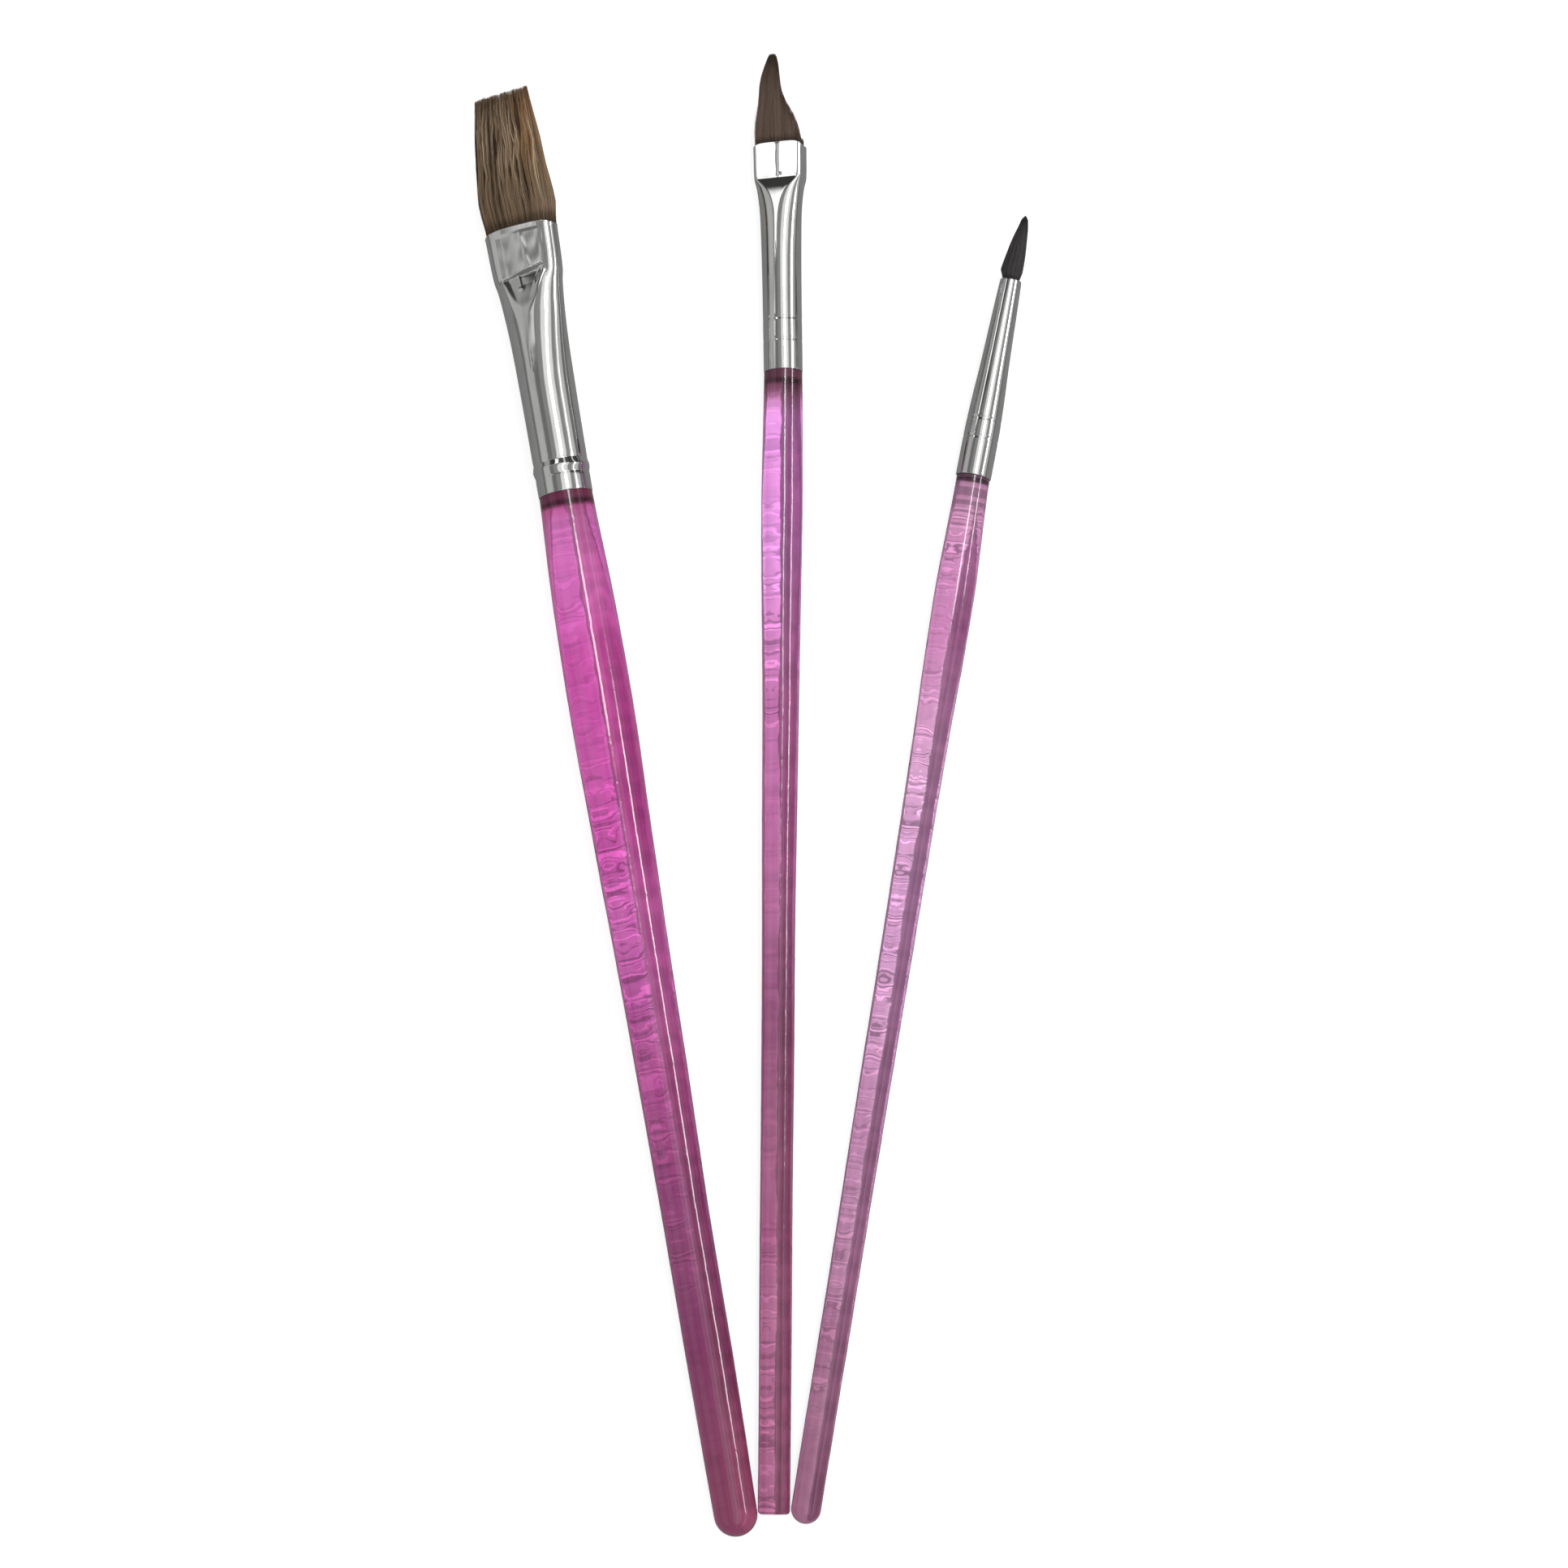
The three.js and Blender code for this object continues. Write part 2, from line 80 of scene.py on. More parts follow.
class Wire:
    """A value leaving a node. Python's arithmetic on one that is a number adds Math nodes."""

    def __init__(self, sheet: "Sheet", socket: bpy.types.NodeSocket) -> None:
        """Keeps the sheet that the value lives on, and its socket."""
        self.sheet = sheet
        self.socket = socket

    def _math(self, operation: str, *values: "Wire | float") -> "Wire":
        """The Math node of that operation on these values."""
        return self.sheet.node("ShaderNodeMath", {"operation": operation}, dict(enumerate(values))).out()

    def __add__(self, other: "Wire | float") -> "Wire":
        """self + other."""
        return self._math("ADD", self, other)

    __radd__ = __add__

    def __sub__(self, other: "Wire | float") -> "Wire":
        """self - other."""
        return self._math("SUBTRACT", self, other)

    def __rsub__(self, other: "Wire | float") -> "Wire":
        """other - self."""
        return self._math("SUBTRACT", other, self)

    def __mul__(self, other: "Wire | float") -> "Wire":
        """self * other."""
        return self._math("MULTIPLY", self, other)

    __rmul__ = __mul__

    def __truediv__(self, other: "Wire | float") -> "Wire":
        """self / other."""
        return self._math("DIVIDE", self, other)

    def __rtruediv__(self, other: "Wire | float") -> "Wire":
        """other / self."""
        return self._math("DIVIDE", other, self)

    def __lt__(self, other: "Wire | float") -> "Wire":
        """1 where self is less than other, and 0 elsewhere."""
        return self._math("LESS_THAN", self, other)

    def __abs__(self) -> "Wire":
        """The size of self, without its sign."""
        return self._math("ABSOLUTE", self)

    def at_most(self, other: "Wire | float") -> "Wire":
        """The smaller of self and other."""
        return self._math("MINIMUM", self, other)

    def angle_from(self, other: "Wire") -> "Wire":
        """The angle whose tangent is self over other, in radians."""
        return self._math("ARCTAN2", self, other)

    def step(self, low: float, high: float, start: float = 0.0, end: float = 1.0) -> "Wire":
        """A soft step over self.

        Args:
            low: the value of self at which the step starts.
            high: the value of self at which it ends.
            start: what the step gives up to low.
            end: what it gives from high on.

        Returns:
            The stepped number.
        """
        settings = {"interpolation_type": "SMOOTHSTEP"}
        values = {0: self, 1: low, 2: high, 3: start, 4: end}
        return self.sheet.node("ShaderNodeMapRange", settings, values).out(0)

    def band(self, middle: float, half: float, soft: float) -> "Wire":
        """A soft band over self.

        Args:
            middle: the value of self at the middle of the band.
            half: half the width of its full part.
            soft: how wide each soft edge is.

        Returns:
            1 in the band, and 0 away from it.
        """
        return abs(self - middle).step(half, half + soft, 1.0, 0.0)


class Placed:
    """A node on a sheet."""

    def __init__(self, sheet: "Sheet", node: bpy.types.Node) -> None:
        """Keeps the node and the sheet it is on."""
        self.sheet = sheet
        self.node = node

    def out(self, name: str | int = 0) -> Wire:
        """The wire at the output of that name or number."""
        return Wire(self.sheet, self.node.outputs[name])


class Sheet:
    """A node tree being filled in, for a material or the world."""

    def __init__(self, tree: bpy.types.NodeTree) -> None:
        """Empties the tree and keeps it."""
        tree.nodes.clear()
        self.tree = tree

    def node(
        self,
        kind: str,
        settings: Mapping[str, object] | None = None,
        values: Mapping[str | int, object] | None = None,
    ) -> Placed:
        """Adds a node.

        Args:
            kind: the node's type.
            settings: its properties, set first; "stops" gives a ramp's places and colours.
            values: its inputs by name or number, as wires, placed nodes or plain values.

        Returns:
            The placed node.
        """
        node = self.tree.nodes.new(kind)
        for key, value in (settings or {}).items():
            if key == "stops":
                self._fill_ramp(node.color_ramp, value)
            else:
                setattr(node, key, value)
        for key, value in (values or {}).items():
            if isinstance(value, Placed):
                value = value.out()
            if isinstance(value, Wire):
                self.tree.links.new(value.socket, node.inputs[key])
            else:
                node.inputs[key].default_value = value
        return Placed(self, node)

    @staticmethod
    def _fill_ramp(ramp: bpy.types.ColorRamp, stops: Sequence[tuple[float, tuple]]) -> None:
        """Fills in a ramp.

        Args:
            ramp: the ramp.
            stops: its places and colours, in order.
        """
        while len(ramp.elements) > 1:
            ramp.elements.remove(ramp.elements[-1])
        ramp.elements[0].position, ramp.elements[0].color = stops[0]
        for place, colour in stops[1:]:
            ramp.elements.new(place).color = colour

    def blend(self, share: Wire | float, first: object, second: object) -> Wire:
        """Mixes two colours.

        Args:
            share: how much of the second colour shows.
            first: the colour where share is 0.
            second: the colour where share is 1.

        Returns:
            The mixed colour.
        """
        return self.node("ShaderNodeMix", {"data_type": "RGBA"}, {0: share, 6: first, 7: second}).out(2)

    def ramp(self, share: Wire, tones: Sequence[tuple[float, str]]) -> Wire:
        """The colour at a share of the way along a row of places and hex codes."""
        stops = [(at, colour(code)) for at, code in tones]
        return self.node("ShaderNodeValToRGB", {"stops": stops}, {0: share}).out()

    def vector(self, operation: str, first: object, second: object) -> Placed:
        """The Vector Math node of that operation on these two."""
        return self.node("ShaderNodeVectorMath", {"operation": operation}, {0: first, 1: second})

    def noise(self, where: Wire, scale: float, detail: float = 2.0, stretch: tuple | None = None) -> Wire:
        """Soft noise from 0 to 1.

        Args:
            where: the place it is read at.
            scale: lumps to each unit of place.
            detail: how many finer layers it has.
            stretch: how much place is scaled on each axis first.

        Returns:
            The noise.
        """
        if stretch:
            where = self.vector("MULTIPLY", where, stretch).out()
        values = {"Vector": where, "Scale": scale, "Detail": detail}
        return self.node("ShaderNodeTexNoise", None, values).out(0)

    def place(self, own: bool = True) -> tuple[Wire, Wire, Wire, Wire]:
        """The place on the piece in metres, whole and as its x, y and z.

        Args:
            own: whether it is read in the brush's own axes, which the pieces made here carry.

        Returns:
            The place, and its three parts.
        """
        if own:
            whole = self.node("ShaderNodeAttribute", {"attribute_name": "own_axes"}).out("Vector")
        else:
            whole = self.node("ShaderNodeTexCoord").out("Object")
        parts = self.node("ShaderNodeSeparateXYZ", None, {0: whole})
        return whole, parts.out(0), parts.out(1), parts.out(2)

    def bump(self, height: Wire, strength: float, depth: float) -> Wire:
        """The normal that a height gives.

        Args:
            height: the height, from 0 to 1.
            strength: how strongly it shows.
            depth: how deep a height of 1 is, in metres.

        Returns:
            The bumped normal.
        """
        values = {"Height": height, "Strength": strength, "Distance": depth}
        return self.node("ShaderNodeBump", None, values).out()

    def rays(self) -> tuple[Placed, Wire, Wire]:
        """What a ray has met on its way to the sheet.

        Returns:
            The Light Path node, whether the ray is the camera's own, and whether it has come to the
            sheet through clear pieces only.
        """
        path = self.node("ShaderNodeLightPath")
        fresh = (path.out("Diffuse Depth") + path.out("Glossy Depth")) < 0.5
        return path, path.out("Is Camera Ray"), path.out("Is Transmission Ray") * fresh

    def surface(self, values: Mapping[str, object]) -> Placed:
        """A Principled shader with these values."""
        return self.node("ShaderNodeBsdfPrincipled", None, values)

    def end(self, shader: Placed, kind: str = "ShaderNodeOutputMaterial") -> None:
        """Joins the shader to the sheet's output."""
        self.node(kind, None, {"Surface": shader})


def colour(code: str) -> tuple[float, float, float, float]:
    """The linear colour of a hex code such as 8a5a38."""
    parts = [int(code[i : i + 2], 16) / 255 for i in (0, 2, 4)]
    return tuple(p / 12.92 if p <= 0.04045 else ((p + 0.055) / 1.055) ** 2.4 for p in parts) + (1.0,)


def grey(level: float) -> tuple[float, float, float, float]:
    """The grey of a linear level."""
    return (level, level, level, 1.0)


def blank_material(name: str) -> tuple[bpy.types.Material, Sheet]:
    """Makes a material with nothing on it.

    Args:
        name: its name.

    Returns:
        The material, and its empty sheet.
    """
    material = bpy.data.materials.new(name)
    material.use_nodes = True
    return material, Sheet(material.node_tree)


# ---------- finishes


class Finish:
    """A finish that makes its material once and gives it to each piece that asks."""

    name: str
    slot: str

    def sheet(self, sheet: Sheet) -> None:
        """Fills in the material's nodes."""
        raise NotImplementedError

    def material(self) -> bpy.types.Material:
        """Makes the material at the first call.

        Returns:
            The material.
        """
        found = bpy.data.materials.get(self.name)
        if found is None:
            found, blank = blank_material(self.name)
            self.sheet(blank)
        return found

    def dress(self, piece: bpy.types.Object) -> None:
        """Gives every slot of a piece this finish.

        Args:
            piece: the piece.
        """
        if not piece.data.materials:
            piece.data.materials.append(self.material())
        for held in piece.material_slots:
            held.material = self.material()


@dataclass(frozen=True)
class Acrylic(Finish):
    """Clear tinted acrylic, polished, with a tint that deepens along the handle, partly painted shade.

    The stops are the tint by share of the handle's length, in millimetres, with painted shade in them.
    The last two fields paint shade just below the ferrule: its colour, and how far down it reaches;
    there the handle is darker and less clear.
    """

    name: str
    slot: str
    length: float
    stops: tuple[tuple[float, str], ...]
    shade_colour: str
    shade_reach: float

    def sheet(self, sheet: Sheet) -> None:
        """Fills in the material's nodes.

        Args:
            sheet: the material's empty sheet.
        """
        where, _, along, _ = sheet.place()
        down = along * (-1 / (self.length * MM))
        # The tint along the handle, with painted shade in it.
        tint = sheet.ramp(down, self.stops)
        cloud = sheet.noise(where, 260, 3, (1, 0.22, 1))
        richer = {"Saturation": 1.08, "Value": 0.86, "Color": tint}
        deep = sheet.node("ShaderNodeHueSaturation", None, richer).out()
        smear = sheet.noise(where, 900, 3, (1, 0.3, 1))
        waves = sheet.noise(where, 420, 4, (0.45, 1.6, 0.45))
        base = sheet.blend(cloud.step(0.45, 0.7), tint, deep)
        nicks = sheet.noise(where, 330, 2).step(0.6, 0.68)
        clear = sheet.surface({
            "Base Color": base,
            "Roughness": smear.step(0.35, 0.8, 0.02, 0.05),
            "IOR": 1.49,
            "Transmission Weight": 1.0,
            "Normal": sheet.bump(waves + nicks * 0.8 + smear * 0.1, 0.05, 2e-4),
        })
        # Painted shade just below the ferrule: a darker, less clear surface over the handle's first part.
        painted_shade_tint = sheet.blend(smear * 0.4, colour(self.shade_colour), tint)
        painted_shade = sheet.surface({"Base Color": painted_shade_tint, "Roughness": 0.03})
        edge = (along * -1000 + (cloud - 0.5) * 0.4) * (1 / self.shade_reach)
        share = edge.step(0.7, 1.35, 0.85, 0.0)
        sheet.end(sheet.node("ShaderNodeMixShader", None, {0: share, 1: clear, 2: painted_shade}))


@dataclass(frozen=True)
class Nickel(Finish):
    """Bright nickel plate on drawn brass, with fine draw lines and rubbed patches."""

    name: str = "nickel_plate"
    slot: str = "nickel"

    def sheet(self, sheet: Sheet) -> None:
        """Fills in the material's nodes.

        Args:
            sheet: the material's empty sheet.
        """
        where, *_ = sheet.place()
        lines = sheet.noise(where, 2600, 2, (1, 0.05, 1))
        rub = sheet.noise(where, 420, 4, (1, 0.35, 1))
        base = sheet.blend(rub.step(0.4, 0.75), colour("d8d8d7"), colour("cdcdcb"))
        grain = lines * 0.6 + rub * 0.4
        sheet.end(sheet.surface({
            "Base Color": base,
            "Metallic": 1.0,
            "Roughness": grain.step(0.3, 0.75, 0.07, 0.13),
            "Normal": sheet.bump(grain, 0.03, 1e-4),
        }))


@dataclass(frozen=True)
class Hair(Finish):
    """Hair of one tuft: each hair has its own shade, with painted shade between the locks and at the root.

    Gloss is how strongly it reflects, and tip how much darker it is at its end.
    """

    name: str
    slot: str
    dark: str
    middle: str
    pale: str
    warm: str
    gloss: float = 0.5
    tip: float = 0.0

    def sheet(self, sheet: Sheet) -> None:
        """Fills in the material's nodes.

        Args:
            sheet: the material's empty sheet.
        """
        own = sheet.node("ShaderNodeAttribute", {"attribute_name": "strand"})
        parts = sheet.node("ShaderNodeSeparateXYZ", None, {0: own.out("Vector")})
        shade, rise, warmth = parts.out(0), parts.out(1), parts.out(2)
        where, *_ = sheet.place()
        fleck = sheet.noise(where, 1500, 2, (1, 0.08, 1))
        tone = shade + (fleck - 0.5) * 0.35
        tones = ((0.0, self.dark), (0.42, self.middle), (0.72, self.middle), (0.95, self.pale))
        base = sheet.ramp(tone, tones)
        base = sheet.blend(warmth, base, colour(self.warm))
        # Painted shade at the root, where the hairs go into the ferrule, and darker towards the tip so far as
        # tip says.
        root_shade_and_dark_tip = rise.step(0.0, 0.09, 0.75, 0.0) + rise.step(0.25, 0.95, 0.0, self.tip)
        base = sheet.blend(root_shade_and_dark_tip, base, colour(self.dark))
        sheet.end(sheet.surface({
            "Base Color": base,
            "Roughness": 0.42,
            "Specular IOR Level": self.gloss,
            "Normal": sheet.bump(fleck, 0.3, 2e-5),
        }))


@dataclass(frozen=True)
class Thread(Finish):
    """Waxed binding thread."""

    name: str = "binding_thread"
    slot: str = "thread"

    def sheet(self, sheet: Sheet) -> None:
        """Fills in the material's nodes.

        Args:
            sheet: the material's empty sheet.
        """
        where, *_ = sheet.place(own=False)
        lay = {"Vector": where, "Scale": 1400, "Distortion": 2.0}
        twist = sheet.node("ShaderNodeTexWave", {"bands_direction": "DIAGONAL"}, lay).out(1)
        base = sheet.blend(twist, colour("8d8272"), colour("d8cfbd"))
        plies = sheet.bump(twist, 0.5, 5e-5)
        sheet.end(sheet.surface({"Base Color": base, "Roughness": 0.62, "Normal": plies}))


@dataclass(frozen=True)
class Cured(Finish):
    """A cured resin or adhesive, with small bubbles and clouds."""

    name: str
    slot: str
    clear: str
    cloudy: str

    def sheet(self, sheet: Sheet) -> None:
        """Fills in the material's nodes.

        Args:
            sheet: the material's empty sheet.
        """
        where, *_ = sheet.place(own=False)
        cloud = sheet.noise(where, 500, 4)
        bubbles = sheet.node("ShaderNodeTexVoronoi", None, {"Vector": where, "Scale": 1600}).out(0)
        base = sheet.blend(cloud.step(0.35, 0.7), colour(self.clear), colour(self.cloudy))
        sheet.end(sheet.surface({
            "Base Color": base,
            "Roughness": 0.28,
            "Coat Weight": cloud.step(0.3, 0.7, 0.2, 0.5),
            "Normal": sheet.bump(bubbles.step(0.0, 0.25), 0.25, 4e-5),
        }))


# ---------- shared shapes


@dataclass(frozen=True)
class Table:
    """Rows of sizes down a piece, read along a smooth curve that never overshoots a row."""

    rows: tuple[tuple[float, ...], ...]

    def at(self, places: Array) -> Array:
        """Reads the table.

        Args:
            places: where to read it, in the units of its first column.

        Returns:
            One row for each place, with one column for each size.
        """
        table = np.array(self.rows, float)
        knots, sizes = table[:, 0], table[:, 1:]
        gaps = np.diff(knots)[:, None]
        rise = np.diff(sizes, axis=0) / gaps
        slope = np.vstack([rise[:1], (rise[1:] + rise[:-1]) / 2, rise[-1:]])
        turning = rise[1:] * rise[:-1] <= 0
        slope[1:-1][turning] = 0.0
        limit = 3 * np.minimum(np.abs(np.vstack([rise[:1], rise])), np.abs(np.vstack([rise, rise[-1:]])))
        slope = np.clip(slope, -limit, limit)
        flat = np.clip(np.asarray(places, float).ravel(), knots[0], knots[-1])
        i = np.clip(np.searchsorted(knots, flat) - 1, 0, len(knots) - 2)
        t = ((flat - knots[i]) / np.diff(knots)[i])[:, None]
        h = np.diff(knots)[i][:, None]
        return (
            (1 + 2 * t) * (1 - t) ** 2 * sizes[i] + t * (1 - t) ** 2 * h * slope[i]
            + t**2 * (3 - 2 * t) * sizes[i + 1] - t**2 * (1 - t) * h * slope[i + 1]
        )


def soft_step(value: Array, low: float, high: float) -> Array:
    """0 below low and 1 above high, with a soft step between them."""
    t = np.clip((value - low) / (high - low), 0, 1)
    return t * t * (3 - 2 * t)


def rounded_ring(width: Array, thick: Array, corner: Array, count: int) -> tuple[Array, Array]:
    """Outlines with rounded corners, their points spread evenly from the middle of the right side.

    Args:
        width: each outline's size across X.
        thick: each outline's size across Z.
        corner: each outline's corner radius.
        count: points in each outline, a multiple of 4.

    Returns:
        The points and the outward directions, each as (outlines, count, 2).
    """
    width, thick, corner = (np.asarray(v, float)[:, None] for v in (width, thick, corner))
    side, top, arc = thick / 2 - corner, width / 2 - corner, corner * math.pi / 2
    share = np.linspace(0, 1, count // 4 + 1)[None, :]
    walk = share * (side + arc + top)
    turn = np.clip((walk - side) / np.maximum(arc, 1e-9), 0, 1) * math.pi / 2
    x = top + corner * np.cos(turn) - np.clip(walk - side - arc, 0, None)
    z = np.minimum(walk, side) + corner * np.sin(turn)
    quarter = np.stack([x, z], -1)
    out = np.stack([np.cos(turn), np.sin(turn)], -1)
    parts, ways = [], []
    for flip, back in (((1, 1), False), ((-1, 1), True), ((-1, -1), False), ((1, -1), True)):
        points, way = quarter * flip, out * flip
        if back:
            points, way = points[:, ::-1], way[:, ::-1]
        parts.append(points[:, :-1])
        ways.append(way[:, :-1])
    return np.concatenate(parts, 1), np.concatenate(ways, 1)


def tube_faces(rings: int, around: int, looped: bool = False) -> Array:
    """The four-sided faces between rings of equal point counts.

    They face out where the rings run towards +Y.

    Args:
        rings: how many rings there are.
        around: points in each ring.
        looped: whether the last ring joins the first.

    Returns:
        Point numbers, as (faces, 4).
    """
    i = np.arange(rings if looped else rings - 1)[:, None]
    j = np.arange(around)[None, :]
    near, far, k = i * around, ((i + 1) % rings) * around, (j + 1) % around
    return np.stack([near + j, far + j, far + k, near + k], -1).reshape(-1, 4)


def make_piece(name: str, points: Array, faces: Sequence, place: Matrix) -> bpy.types.Object:
    """Makes a smooth-shaded mesh object, which keeps each point's place in the brush's own axes.

    Args:
        name: the piece's name.
        points: its points in its own axes, in millimetres.
        faces: point numbers of its faces.
        place: where its axes stand in the frame, in millimetres.

    Returns:
        The object, in the scene.
    """
    mesh = bpy.data.meshes.new(name)
    own = np.asarray(points) * MM
    turn, shift = np.array(place.to_3x3()), np.array(place.translation) * MM
    mesh.from_pydata((own @ turn.T + shift).tolist(), [], [list(f) for f in faces])
    mesh.polygons.foreach_set("use_smooth", np.ones(len(mesh.polygons), bool))
    held = mesh.attributes.new("own_axes", "FLOAT_VECTOR", "POINT")
    held.data.foreach_set("vector", own.astype(np.float32).ravel())
    piece = bpy.data.objects.new(name, mesh)
    bpy.context.scene.collection.objects.link(piece)
    return piece


def turn_about(degrees: float, axis: str) -> Matrix:
    """A turn about an axis."""
    return Matrix.Rotation(math.radians(degrees), 4, axis)


# ---------- the handle


class Tail(Enum):
    """How a handle ends."""

    ROUND = "round"
    CUT = "cut"


@dataclass(frozen=True)
class Handle:
    """A turned acrylic handle with the tenon that goes into the ferrule.

    The sizes give its diameter by distance below the ferrule's foot. The length runs from there to
    where the tail begins to close, and tenon is how far it goes into the ferrule.
    """

    sizes: Table
    length: float
    tail: Tail
    tenon: float
    seed: int
    acrylic: Acrylic
    around: int = 96

    def _outline(self, clear: Array) -> Array:
        """The outline from the tail's middle to the tenon's end.

        Args:
            clear: the tenon's radius at its end and at its foot.

        Returns:
            Rows of distance below the ferrule's foot, and radius.
        """
        end = float(self.sizes.at(np.array([self.length]))[0, 0]) / 2
        if self.tail is Tail.ROUND:
            turn = np.linspace(math.pi / 2, 0, 22)[:-1]
            last = np.stack([self.length + end * np.sin(turn), end * np.cos(turn)], -1)
        else:
            edge = 0.5
            turn = np.linspace(math.pi / 2, 0, 8)
            curve = np.stack([self.length + edge * np.sin(turn), end - edge + edge * np.cos(turn)], -1)
            last = np.vstack([[self.length + edge, 0.0], [self.length + edge, end / 2], curve])[:-1]
        # Rings down the handle, closer near the ferrule.
        downs = np.concatenate([np.arange(self.length, 8, -0.4), np.arange(8, 0.32, -0.2), [0.3, 0.15]])
        body = np.stack([downs, self.sizes.at(downs)[:, 0] / 2], -1)
        # The rounded shoulder stops just short of the ferrule, and the tenon goes on into it.
        shoulder = body[-1, 1]
        gap = 0.02
        edge = 0.025
        turn = np.linspace(0, math.pi / 2, 6)
        rim = np.stack([gap + edge - edge * np.sin(turn), shoulder - edge * (1 - np.cos(turn))], -1)
        rim = np.vstack([[0.06, shoulder], rim, [gap, shoulder - 0.06], [gap, clear[1]]])
        pin = [[-self.tenon * s, clear[1] + (clear[0] - clear[1]) * s] for s in np.linspace(0.02, 0.96, 12)]
        nose = [[-self.tenon, clear[0] - 0.25], [-self.tenon, 0.0]]
        return np.vstack([last, body, rim, pin, nose])

    def _unevenness(self, below: Array, angle: Array) -> Array:
        """How uneven hand polishing leaves the surface.

        Args:
            below: how far below the ferrule's foot each ring is.
            angle: the angles round it.

        Returns:
            How far each point stands proud.
        """
        dice = np.random.default_rng(self.seed)
        proud = np.zeros(np.broadcast(below, angle).shape)
        # Height, length along the handle, and lobes around it.
        ripples = (
            (0.022, 47, 1), (0.018, 31, 2), (0.007, 13, 2), (0.004, 5.6, 3),
            (0.0025, 2.6, 1), (0.0022, 1.7, 2), (0.0018, 1.3, 3),
        )
        for height, wave, lobes in ripples:
            phase, slide = dice.uniform(0, 2 * math.pi, 2)
            proud += height * np.sin(below * 2 * math.pi / wave + phase) * np.cos(lobes * angle + slide)
        return proud

    def build(self, name: str, place: Matrix, head: Matrix, clear: Array) -> bpy.types.Object:
        """Makes the handle.

        Args:
            name: the piece's name.
            place: the brush's place in the frame.
            head: how the head leans from the handle.
            clear: the tenon's radius at its end and at its foot.

        Returns:
            The dressed handle.
        """
        outline = self._outline(clear)
        angle = np.linspace(0, 2 * math.pi, self.around, endpoint=False)[None, :]
        below, radius = outline[:, :1], outline[:, 1:]
        worn = np.where(below > 0.25, self._unevenness(below, angle), 0.0)
        fade = soft_step(below, 0.25, 6) * soft_step(self.length - below, 0.0, 4)
        radius = np.where(radius > 0.01, radius + worn * fade, radius)
        along = np.broadcast_to(-below, radius.shape)
        points = np.stack([radius * np.cos(angle), along, radius * np.sin(angle)], -1)
        flat = points.reshape(-1, 3)
        bent = flat @ np.array(head.to_3x3()).T
        inside = soft_step(flat[:, 1:2], 0.0, 0.6)
        flat = flat * (1 - inside) + bent * inside
        rings = len(outline)
        keep = flat[self.around : -self.around]
        points = np.vstack([flat[:1], keep, flat[-1:]])
        faces = [tuple(f) for f in tube_faces(rings - 2, self.around) + 1]
        final = len(points) - 1
        for j in range(self.around):
            k = (j + 1) % self.around
            faces.append((0, 1 + j, 1 + k))
            faces.append((final, final - self.around + k, final - self.around + j))
        piece = make_piece(name, points, faces, place)
        self.acrylic.dress(piece)
        return piece


# ---------- the ferrule


@dataclass(frozen=True)
class Crimp:
    """A ring rolled into a ferrule.

    It is given by how far below the mouth it is, how proud (or, below 0, deep) it is, and half its width.
    """

    below: float
    height: float
    half: float = 0.42


